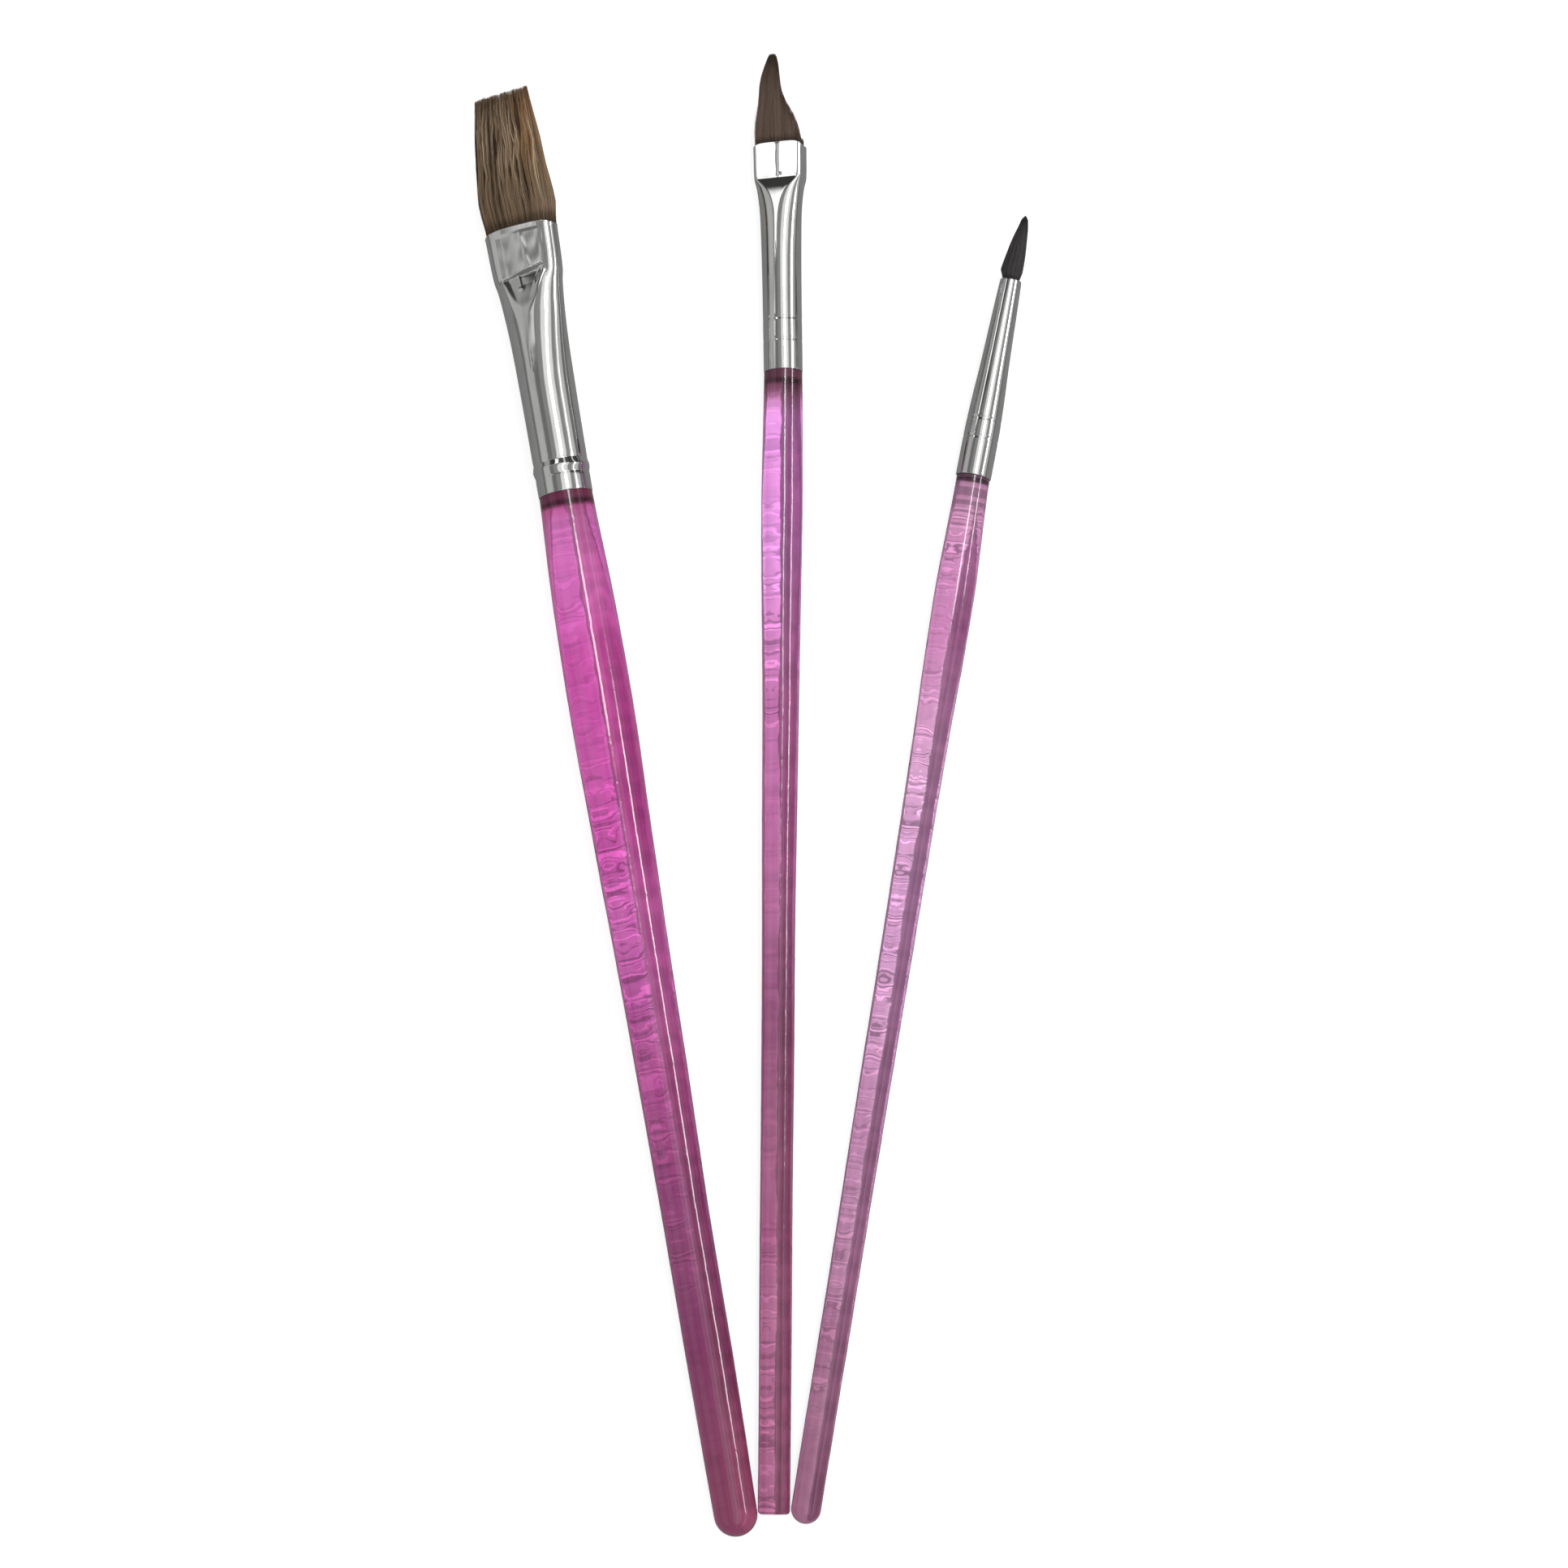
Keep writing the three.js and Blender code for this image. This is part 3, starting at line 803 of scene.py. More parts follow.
@dataclass(frozen=True)
class Ferrule:
    """A thin drawn tube of plated brass: a plain cone unless a subclass presses it.

    The stations give its width, thickness, corner radius and how round it is, from 0 to 1, by distance
    below the mouth. Dip is how far the mouth's edge drops at its two sides.
    """

    length: float
    stations: Table
    crimps: tuple[Crimp, ...]
    dip: float = 0.0
    wall: float = 0.35
    around: int = 160

    def relief(self, x: Array, below: Array) -> Array:
        """How far the pressed face stands proud of the plain tube, for points of its skin."""
        return np.zeros(np.broadcast(x, below).shape)

    def _rolled(self, below: Array, angle: Array) -> Array:
        """The rolled crimps, with the slight unevenness of rolling.

        Args:
            below: how far below the mouth each ring is.
            angle: the angle of each point round the tube.

        Returns:
            How far each point stands proud.
        """
        proud = np.zeros(np.broadcast(below, angle).shape)
        for number, crimp in enumerate(self.crimps):
            uneven = 1 + 0.22 * np.sin(2 * angle + 1.3 * number) + 0.12 * np.sin(5 * angle + number)
            off = (below - crimp.below - 0.06 * np.sin(angle + number)) / crimp.half
            proud += crimp.height * uneven * np.exp(-(off**2))
            sides = np.exp(-((np.abs(off) - 1.75) ** 2) / 0.16)
            proud -= 0.25 * crimp.height * uneven * sides
        return proud

    def skin(self, below: Array, inset: Array) -> Array:
        """Rings of the tube.

        Args:
            below: how far below the mouth each ring is.
            inset: how far inside the outer skin each ring is.

        Returns:
            The points, as (rings, around, 3).
        """
        sizes = self.stations.at(below)
        radius = np.maximum(sizes[:, 2] - inset, 0.08)
        ring, out = rounded_ring(sizes[:, 0] - 2 * inset, sizes[:, 1] - 2 * inset, radius, self.around)
        down = below[:, None]
        angle = np.arctan2(ring[..., 1], ring[..., 0])
        half = sizes[:, None, :2] / 2 - inset[:, None, None]
        way = out * half
        oval = way / np.linalg.norm(way / half, axis=-1, keepdims=True)
        ring = ring + (oval - ring) * sizes[:, 3, None, None]
        proud = self._rolled(down, angle) + self.relief(ring[..., 0], down) * out[..., 1] ** 2
        ring = ring + out * proud[..., None]
        half = self.stations.rows[0][1] / 2
        fade = np.maximum(0, 1 - down / self.stations.rows[1][0])
        drop = self.dip * np.minimum(1, np.abs(ring[..., 0]) / half) ** 6 * fade
        return np.stack([ring[..., 0], self.length - down - drop, ring[..., 1]], -1)

    def bore_radius(self, below: float, clear: float) -> float:
        """The radius of a round plug that stands clear of the outer skin at a depth."""
        return float(self.stations.at(np.array([below]))[0, 1]) / 2 - clear

    def build(self, name: str, place: Matrix, nickel: Nickel) -> bpy.types.Object:
        """Makes the ferrule.

        Args:
            name: the piece's name.
            place: the head's place in the frame.
            nickel: its finish.

        Returns:
            The dressed ferrule.
        """
        # Rings of the outer skin: close together where it is pressed and at each crimp.
        fine = np.arange(0.2, 12.0, 0.1)
        plain = np.arange(12.0, self.length - 0.2, 0.3)
        near = [c.below + np.linspace(-1.3, 1.3, 40) for c in self.crimps]
        outer = np.unique(np.round(np.concatenate([fine, plain, *near]), 4))
        outer = outer[(outer > 0.175) & (outer < self.length - 0.1)]
        turn = np.linspace(0, math.pi, 9)
        half = self.wall / 2
        mouth = [(half - half * np.sin(t), half * (1 - np.cos(t))) for t in turn]
        foot = [(self.length - 0.09 * (1 - np.sin(t)), 0.09 * (1 - np.cos(t))) for t in turn[:5]]
        # Rings of the bore, and the bevelled edge of the foot.
        inner = np.concatenate([np.arange(0.5, 8.0, 0.4), np.arange(8.0, self.length - 0.1, 1.5)])
        inner = np.append(inner, self.length - 0.03)
        bevel = [(0.01, 0.003), (0.002, 0.01), (0.0, 0.03)]
        corner = [(self.length - up, self.wall - into) for up, into in bevel] + [(self.length, 0.12)]
        ends = corner + foot[::-1]
        below = np.concatenate([outer[::-1], [m[0] for m in mouth], inner, [e[0] for e in ends]])
        flush, lining = np.zeros(len(outer)), np.full(len(inner), self.wall)
        inset = np.concatenate([flush, [m[1] for m in mouth], lining, [e[1] for e in ends]])
        points = self.skin(below, inset)
        faces = tube_faces(len(below), self.around, looped=True)
        piece = make_piece(name, points.reshape(-1, 3), faces, place)
        nickel.dress(piece)
        return piece


@dataclass(frozen=True)
class PanelFerrule(Ferrule):
    """A ferrule pressed flat, with a lip at its mouth and a shallow panel below it."""

    panel_half: float = 3.15
    panel_top: float = 1.05
    panel_foot: float = 6.6
    depth: float = 0.06

    def relief(self, x: Array, below: Array) -> Array:
        """The relief of the pressed face.

        Args:
            x: each point's place across the face.
            below: how far below the mouth it is.

        Returns:
            How far it stands proud of the plain tube.
        """
        past = below - (self.panel_foot - 0.16 * x)
        left = soft_step(x, -self.panel_half - 0.5, -self.panel_half + 0.7)
        across = left * (1 - soft_step(x, self.panel_half - 0.15, self.panel_half + 0.05))
        top = soft_step(below, self.panel_top - 0.08, self.panel_top + 0.1)
        down = top * (1 - soft_step(past, -0.1, 0.1))
        # Within the panel, a folded crease and slight waves.
        crease = 0.5 + 0.11 * below + 0.09 * np.sin(below * 2.4)
        fold = 0.03 * np.exp(-(((x - crease) / 0.22) ** 2))
        wave = 0.004 * np.sin(below * 2.1 + x * 1.3) * np.cos(x * 1.7 - 0.4)
        crown = -0.026 * np.minimum(np.abs(x), 3.6) ** 2 * (1 - soft_step(past, 0.0, 5.0))
        # Past the panel's foot, a wedge-shaped hollow, a rib along its left, and a blob and run of solder.
        wide = 2.6 - 0.36 * np.clip(past, 0, 6)
        hollow = -0.3 * soft_step(past, -0.05, 0.4) * (1 - soft_step(past, 0.8, 6.0))
        hollow = hollow * (1 - soft_step(np.abs(x), wide - 0.3, wide + 0.9))
        edge = -3.45 + 0.3 * np.clip(past, 0, 8)
        rib = 0.05 * np.exp(-(((x - edge) / 0.13) ** 2)) * soft_step(past, 0.1, 0.8)
        rib = rib * (1 - soft_step(past, 4.0, 7.0))
        bead = 0.09 * np.exp(-((x + 0.4) ** 2) / 0.12 - (past - 2.3) ** 2 / 0.1)
        tear = 0.05 * np.exp(-((x + 0.75 - 0.2 * past) ** 2) / 0.02) * soft_step(past, 0.1, 0.5)
        tear = tear * (1 - soft_step(past, 1.6, 2.1))
        worn = 0.006 * np.sin(below * 1.3 + 4 * x) * np.sin(below * 0.45 + 1.7 * x + 1)
        worn = worn * soft_step(x, 2.0, 3.0)
        return across * down * (fold + wave - self.depth) + crown + hollow + rib + bead + tear + worn


@dataclass(frozen=True)
class SeamFerrule(Ferrule):
    """A ferrule pressed flat with a seam down its face and a straight step where the press ended."""

    face_half: float = 3.25
    face_foot: float = 4.95

    def relief(self, x: Array, below: Array) -> Array:
        """The relief of the pressed face.

        Args:
            x: each point's place across the face.
            below: how far below the mouth it is.

        Returns:
            How far it stands proud of the plain tube.
        """
        seam_x = 0.08 + 0.03 * np.sin(below * 1.9)
        on_face = 1 - soft_step(below, self.face_foot - 0.15, self.face_foot + 0.3)
        seam = -0.06 * np.exp(-(((x - seam_x) / 0.08) ** 2)) * on_face
        notch = -0.12 * np.exp(-((x - seam_x) ** 2) / 0.03 - below**2 / 0.08)
        dot = -0.08 * np.exp(-((x - 0.45) ** 2 + (below - 4.7) ** 2) / 0.02)
        step = 0.02 * on_face * (1 - soft_step(np.abs(x), self.face_half - 0.1, self.face_half + 0.15))
        return seam + notch + dot + step - 0.02


# ---------- the tuft


@dataclass(frozen=True)
class Tuft:
    """A tuft of hairs set in a packed root.

    The root is how deep they are set. The form gives, by height, how far the middle has moved across
    and how much wider and thicker the tuft is than its root. Clumps is how many locks each layer has,
    gather and wander how far hairs draw into them and how far the locks sway, stray how far single
    hairs do, and gaps how dark the painted shade between the locks is.
    """

    root: float
    form: Table
    hairs: int
    thickness: float
    seed: int
    finish: Hair
    steps: int = 10
    clumps: int = 1
    wander: float = 0.0
    gather: float = 0.0
    stray: float = 0.03
    gaps: float = 0.0

    def reach(self, x: Array, z: Array) -> Array:
        """How high above the mouth a hair rooted at x, z ends."""
        raise NotImplementedError

    def warmth(self, x: Array, rise: Array, dice: np.random.Generator) -> Array:
        """How far each hair has turned to the tuft's warm colour."""
        return np.zeros(np.broadcast(x, rise).shape)

    def paler(self, x: Array) -> Array:
        """How much paler than the rest the hairs rooted at x are."""
        return np.zeros_like(x)

    def _roots(self, ferrule: Ferrule, dice: np.random.Generator) -> Array:
        """Spreads the hairs evenly over the ferrule's bore.

        Args:
            ferrule: the ferrule that holds them.
            dice: the tuft's own random numbers.

        Returns:
            Each hair's x and z.
        """
        width, thick, corner = ferrule.stations.rows[0][1:4]
        half = np.array([width / 2, thick / 2]) - ferrule.wall - 0.06
        radius = max(corner - ferrule.wall - 0.06, 0.05)
        inside_share, spare = 0.9, 1.6
        tries = int(self.hairs / inside_share * spare)
        # An even spread that never repeats.
        n = np.arange(tries)
        spread = np.stack([(n * 0.7548776662 + 0.1) % 1, (n * 0.5698402910 + 0.4) % 1], -1) * 2 - 1
        spot = spread * half + dice.normal(0, 0.012, (tries, 2))
        corner_off = np.maximum(np.abs(spot) - (half - radius), 0)
        inside = np.hypot(corner_off[:, 0], corner_off[:, 1]) <= radius
        return spot[inside][: self.hairs]

    def _clumped(
        self, x: Array, z: Array, height: Array, dice: np.random.Generator
    ) -> tuple[Array, Array, Array, Array]:
        """Draws hairs together into wavy locks, in layers from front to back.

        Args:
            x: each hair's place across, at each height.
            z: each hair's place front to back, at each height.
            height: the heights along each hair.
            dice: the tuft's own random numbers.

        Returns:
            The new x and z, how far each hair is from the middle of its lock, from 0 to 1, and its
            lock's tone.
        """
        if self.clumps < 2:
            return x, z, np.zeros((len(x), 1)), np.full((len(x), 1), 0.5)
        low, high = x[:, 0].min(), x[:, 0].max()
        gap = (high - low) / self.clumps
        layers = 5
        layer = np.clip(((z[:, 0] / np.abs(z[:, 0]).max() + 1) * (layers / 2)).astype(int), 0, layers - 1)
        middles = np.linspace(low, high, self.clumps) + dice.normal(0, gap * 0.3, (layers, self.clumps))
        middles += dice.uniform(-0.5, 0.5, (layers, 1)) * gap
        own = np.argmin(np.abs(x[:, :1] + dice.normal(0, gap * 0.1, (len(x), 1)) - middles[layer]), 1)
        lock = layer * self.clumps + own
        total = layers * self.clumps

        def each(start: float, end: float) -> Array:
            """A random number for each hair's lock."""
            return dice.uniform(start, end, total)[lock][:, None]

        off = x[:, :1] - middles[layer, own][:, None]
        pull = self.gather * each(0.5, 1.0) * soft_step(height, 0.4, 7)
        pull = pull * (1 - 0.5 * soft_step(height, 13, 18))
        edge = 1 - soft_step(np.abs(x[:, :1] - x[:, 0].mean()) / ((high - low) / 2), 0.8, 0.98)
        rise = soft_step(height, 0.4, 6) * edge
        sway = self.wander * each(0.3, 1.0) * np.sin(height * 2 * math.pi / each(6.5, 13.0) + each(0, 6.3))
        sway += self.wander * 0.35 * np.sin(height * 2 * math.pi / each(2.5, 5.0) + each(0, 6.3))
        lift = 0.3 * self.wander * np.cos(height * 2 * math.pi / each(5.0, 10.0) + each(0, 6.3))
        far = np.clip(np.abs(off) / (gap * 0.55), 0, 1) ** 3
        tone = each(0.5 - 0.5 * self.gaps, 0.5 + 0.5 * self.gaps)
        return x - off * pull + sway * rise, z + lift * rise, far, tone

    def strands(self, ferrule: Ferrule) -> tuple[Array, Array, Array]:
        """Grows the hairs.

        Args:
            ferrule: the ferrule that holds them.

        Returns:
            Points as (hairs, steps, 3), radii as (hairs, steps), and shade, rise and warmth as
            (hairs, steps, 3).
        """
        dice = np.random.default_rng(self.seed)
        roots = self._roots(ferrule, dice)
        x0, z0 = roots[:, :1], roots[:, 1:]
        count = len(roots)
        top = self.reach(x0, z0) * (1 - 0.008 * np.abs(dice.normal(0, 1, (count, 1))))
        share = np.linspace(0, 1, self.steps)[None, :]
        sunk = 1.2
        height = -sunk + (top + sunk) * share
        form = self.form.at(np.maximum(height, 0)).reshape(count, self.steps, 3)
        x = form[..., 0] + x0 * form[..., 1]
        z = z0 * form[..., 2]
        x, z, far, tone = self._clumped(x, z, height, dice)
        loose = self.stray * soft_step(height, 1.0, 12.0)
        bend = dice.normal(0, 1, (count, 2))
        curl = np.sin(height * dice.uniform(0.25, 0.6, (count, 1)) + dice.uniform(0, 6.3, (count, 1)))
        x = x + loose * (bend[:, :1] * 0.6 + curl)
        z = z + loose * 0.6 * bend[:, 1:]
        points = np.stack([x, ferrule.length + height, z], -1)
        thin = self.thickness / 2 * dice.uniform(0.8, 1.15, (count, 1))
        radii = thin * (1 - 0.88 * soft_step(share, 0.62, 1.0))
        # Painted shade: hairs deep in the tuft and at the edges of their locks are darker.
        outer = np.clip(np.abs(z0) / np.abs(z0).max() * 1.25, 0, 1) ** 1.5
        shade = 0.15 + 0.45 * tone + 0.4 * dice.uniform(0, 1, (count, 1)) ** 1.3
        shade = shade * (0.5 + 0.5 * outer) * (1 - self.gaps * far)
        shade = np.where(dice.uniform(0, 1, (count, 1)) < 0.07 * self.gaps, 0.9, shade)
        calm = 0.6 + 0.4 * soft_step(height, 2.0, 11.0)
        shade = 0.36 + (shade - 0.36) * calm + self.paler(x0)
        rise = np.clip(height / np.maximum(top.max(), 1), 0, 1)
        warm = self.warmth(x0 + 0 * height, rise, dice)
        return points, radii, np.stack([shade, rise, warm], -1)

    def build(self, name: str, place: Matrix, ferrule: Ferrule) -> bpy.types.Object:
        """Makes the tuft, hairs and packed root in one piece.

        Args:
            name: the piece's name.
            place: the head's place in the frame.
            ferrule: the ferrule that holds it.

        Returns:
            The dressed tuft.
        """
        points, radii, looks = self.strands(ferrule)
        count, steps = radii.shape
        spin = np.random.default_rng(self.seed + 1).uniform(0, 2 * math.pi, (count, 1, 1))
        turn = spin + np.arange(3)[None, None, :] * 2 * math.pi / 3
        ring = np.stack([np.cos(turn), 0 * turn, np.sin(turn)], -1) * radii[:, :, None, None]
        skin = (points[:, :, None, :] + ring).reshape(-1, 3)
        one = tube_faces(steps, 3)
        starts = (np.arange(count) * steps * 3)[:, None, None]
        quads = (one[None] + starts).reshape(-1, 4)
        ends = np.array([[0, 1, 2], [(steps - 1) * 3 + 2, (steps - 1) * 3 + 1, (steps - 1) * 3]])
        caps = (ends[None] + starts).reshape(-1, 3)
        plug, plug_faces = self._plug(ferrule)
        offset = len(skin)
        faces = quads.tolist() + caps.tolist() + [[i + offset for i in f] for f in plug_faces]
        piece = make_piece(name, np.vstack([skin, plug]), faces, place)
        own = np.repeat(looks.reshape(-1, 3), 3, axis=0)
        # The packed root gets a low shade and the root's full painted shade.
        own = np.vstack([own, np.tile([0.1, 0.0, 0.0], (len(plug), 1))])
        held = piece.data.attributes.new("strand", "FLOAT_VECTOR", "POINT")
        held.data.foreach_set("vector", own.astype(np.float32).ravel())
        self.finish.dress(piece)
        return piece

    def _plug(self, ferrule: Ferrule) -> tuple[Array, list[list[int]]]:
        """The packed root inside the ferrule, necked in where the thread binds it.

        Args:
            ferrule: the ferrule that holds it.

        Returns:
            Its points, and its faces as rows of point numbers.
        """
        around = 48
        middle, top = self.root - 1.8, 0.3 + ferrule.dip
        full, necked = 0.45, 0.89
        below = np.array([self.root, middle + 0.9, middle + 0.88, middle - 0.88, middle - 0.9, top])
        inset = np.array([full, full, necked, necked, full, full])
        sizes = ferrule.stations.at(below)
        corner = np.maximum(sizes[:, 2] - inset, 0.08)
        ring, _ = rounded_ring(sizes[:, 0] - 2 * inset, sizes[:, 1] - 2 * inset, corner, around)
        along = np.broadcast_to(ferrule.length - below[:, None], ring.shape[:2])
        points = np.stack([ring[..., 0], along, ring[..., 1]], -1)
        faces = tube_faces(len(below), around).tolist()
        last = (len(below) - 1) * around
        faces += [list(range(around)), [last + j for j in range(around)][::-1]]
        return points.reshape(-1, 3), faces


@dataclass(frozen=True)
class FlatTuft(Tuft):
    """A wide tuft cut to a slanted edge with a rounded low corner."""

    def reach(self, x: Array, z: Array) -> Array:
        """How high above the mouth a hair ends.

        Args:
            x: where the hair is rooted across the mouth.
            z: where it is rooted front to back.

        Returns:
            The height.
        """
        cupped = 0.7 * np.clip(np.abs(z) / 1.75, 0, 1) ** 2
        low_corner = 0.3 * soft_step(-x, 4.2, 5.3) ** 2
        ragged = 0.06 * np.sin(x * 3.1) + 0.05 * np.sin(x * 7.7 + 1 + z)
        return 19.2 + 0.005 * x - cupped - low_corner + ragged

    def paler(self, x: Array) -> Array:
        """How much paler than the rest the hairs rooted at x are."""
        return 0.16 * soft_step(x, 1.8, 4.2)

    def warmth(self, x: Array, rise: Array, dice: np.random.Generator) -> Array:
        """How far each hair has turned to the tuft's warm colour, mostly on the right and high up.

        Args:
            x: where each hair is rooted across the mouth.
            rise: the heights along it, as shares of the tuft's.
            dice: the tuft's own random numbers.

        Returns:
            The shares of warm colour.
        """
        pick = dice.uniform(0, 1, (len(x), 1))
        chance = 0.05 + 0.45 * soft_step(x[:, :1], 0.0, 4.4)
        golden = (pick < chance) * (0.35 + 0.65 * pick / chance)
        return golden * soft_step(rise, 0.1, 0.8) * 0.9


@dataclass(frozen=True)
class DaggerTuft(Tuft):
    """A tuft cut to a long blade, with its point off to one side.

    The edge table gives how far to the right the blade reaches, by height above the mouth.
    """

    edge: Table = Table((
        (0, 3.05), (0.9, 2.78), (2.4, 2.46), (3.3, 2.2), (4.2, 1.9), (5.1, 1.4), (6, 0.9), (7.9, 0.18),
        (9.7, -0.05), (10.9, -0.06), (13.5, -0.6),
    ))

    def reach(self, x: Array, z: Array) -> Array:
        """How high above the mouth a hair ends.

        Args:
            x: where the hair is rooted across the mouth.
            z: where it is rooted front to back.

        Returns:
            The height.
        """
        heights = np.arange(0.0, 13.4, 0.04)
        form = self.form.at(heights)
        edge = self.edge.at(heights)[:, 0]
        inside = (form[None, :, 0] + x * form[None, :, 1] <= edge) & (heights <= 13.0 - 0.5 * np.abs(z))
        last = inside.shape[1] - 1 - np.argmax(inside[:, ::-1], axis=1)
        return np.where(inside.any(axis=1), np.maximum(heights[last], 0.6), 0.6)[:, None]


@dataclass(frozen=True)
class RoundTuft(Tuft):
    """A full-bellied tuft that comes to a point."""

    def reach(self, x: Array, z: Array) -> Array:
        """How high above the mouth a hair rooted at x, z ends."""
        return 9.4 - 0.5 * np.clip((x**2 + z**2), 0, 1.2)


# ---------- the brushes


@dataclass(frozen=True)
class Brush:
    """One brush: where it lies, and its handle, ferrule and tuft.

    The foot is the middle of the ferrule's foot in the frame. The angles are in degrees: how the brush
    turns on the table and tips, and how its ferrule and tuft lean and roll on the handle.
    """

    name: str
    foot: tuple[float, float, float]
    yaw: float
    pitch: float
    lean: float
    roll: float
    handle: Handle
    ferrule: Ferrule
    tuft: Tuft

    @property
    def place(self) -> Matrix:
        """The brush's axes in the frame, in millimetres."""
        return Matrix.Translation(self.foot) @ (turn_about(self.yaw, "Z") @ turn_about(self.pitch, "X"))

    @property
    def head(self) -> Matrix:
        """How the ferrule and the tuft lean and roll on the handle."""
        return turn_about(self.lean, "Z") @ turn_about(self.roll, "Y")

    def _join(self, piece: bpy.types.Object, part: str) -> None:
        """Puts a piece in a CAD node's place, on the brush's body.

        Args:
            piece: the piece.
            part: the end of the node's name.
        """
        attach(piece, f"{self.name}_brush")
        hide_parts(f"{self.name}_{part}")
        low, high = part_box(f"{self.name}_{part}")
        corners = [piece.matrix_world @ Vector(c) for c in piece.bound_box]
        size = [max(c[i] for c in corners) - min(c[i] for c in corners) for i in range(3)]
        LOG.info("%s: %d faces, about %s mm, CAD %s mm", piece.name, len(piece.data.polygons),
                 [round(s / MM, 1) for s in size], [round(s / MM, 1) for s in (high - low)])

    def build(
        self, nodes: Mapping[str, bpy.types.Object], nickel: Nickel, inner: Mapping[str, Finish]
    ) -> None:
        """Builds and dresses the brush.

        Args:
            nodes: the CAD nodes by name.
            nickel: the ferrule's finish.
            inner: the finishes of the CAD nodes that stay, by the end of their names.
        """
        head_place = self.place @ self.head
        length = self.ferrule.length
        depths = (length - self.handle.tenon, length)
        clear = np.array([self.ferrule.bore_radius(depth, TENON_INSET) for depth in depths])
        handle = self.handle.build(f"{self.name}_turned_handle", self.place, self.head, clear)
        self._join(handle, "handle")
        ferrule = self.ferrule.build(f"{self.name}_drawn_ferrule", head_place, nickel)
        self._join(ferrule, "ferrule")
        tuft = self.tuft.build(f"{self.name}_tuft", head_place, self.ferrule)
        self._join(tuft, "hair")
        for part, finish in inner.items():
            finish.dress(nodes[f"{self.name}_{part}"])


# ---------- the studio


@dataclass(frozen=True)
class Camera:
    """The camera that took the photograph.

    It looks at aim, from a distance in millimetres, and its elevation and field are in degrees. Clip is
    the nearest and the farthest that it sees, in metres.
    """

    aim: tuple[float, float, float] = (4.545, -0.959, 4.0)
    distance: float = 602.6
    elevation: float = 82.0
    field: float = 20.0
    clip: tuple[float, float] = (0.01, 20.0)

    def build(self) -> None:
        """Makes the camera and gives it to the scene."""
        lens = bpy.data.cameras.new("photo_camera")
        lens.sensor_fit = "HORIZONTAL"
        lens.angle = math.radians(self.field)
        lens.clip_start, lens.clip_end = self.clip
        camera = bpy.data.objects.new("photo_camera", lens)
        up = math.radians(self.elevation)
        back = Vector((0, -math.cos(up), math.sin(up))) * self.distance
        camera.location = (Vector(self.aim) + back) * MM
        camera.rotation_euler = (math.radians(90 - self.elevation), 0, 0)
        bpy.context.scene.collection.objects.link(camera)
        bpy.context.scene.camera = camera


@dataclass(frozen=True)
class Strip:
    """A long soft strip light over the table, along the brushes.

    Its angle and half width are seen from the table, in degrees; low and high are how far it runs
    along them, as the y of the direction it is seen in. It fades there to a share of its light, which
    goes on beyond.
    """

    angle: float
    half: float
    soft: float
    strength: float
    low: float = -0.75
    high: float = 0.42
    fade: float = 0.05
    beyond: float = 0.06

    def light(self, angle: Wire, along: Wire) -> Wire:
        """How bright the strip is in a direction.

        Args:
            angle: the direction's angle over the table, in degrees.
            along: its y.

        Returns:
            The strip's light.
        """
        ends = along.step(self.high - self.fade, self.high + self.fade, 1.0, self.beyond)
        ends = ends * along.step(self.low - self.fade, self.low + self.fade, self.beyond, 1.0)
        return angle.band(self.angle, self.half, self.soft) * ends * self.strength


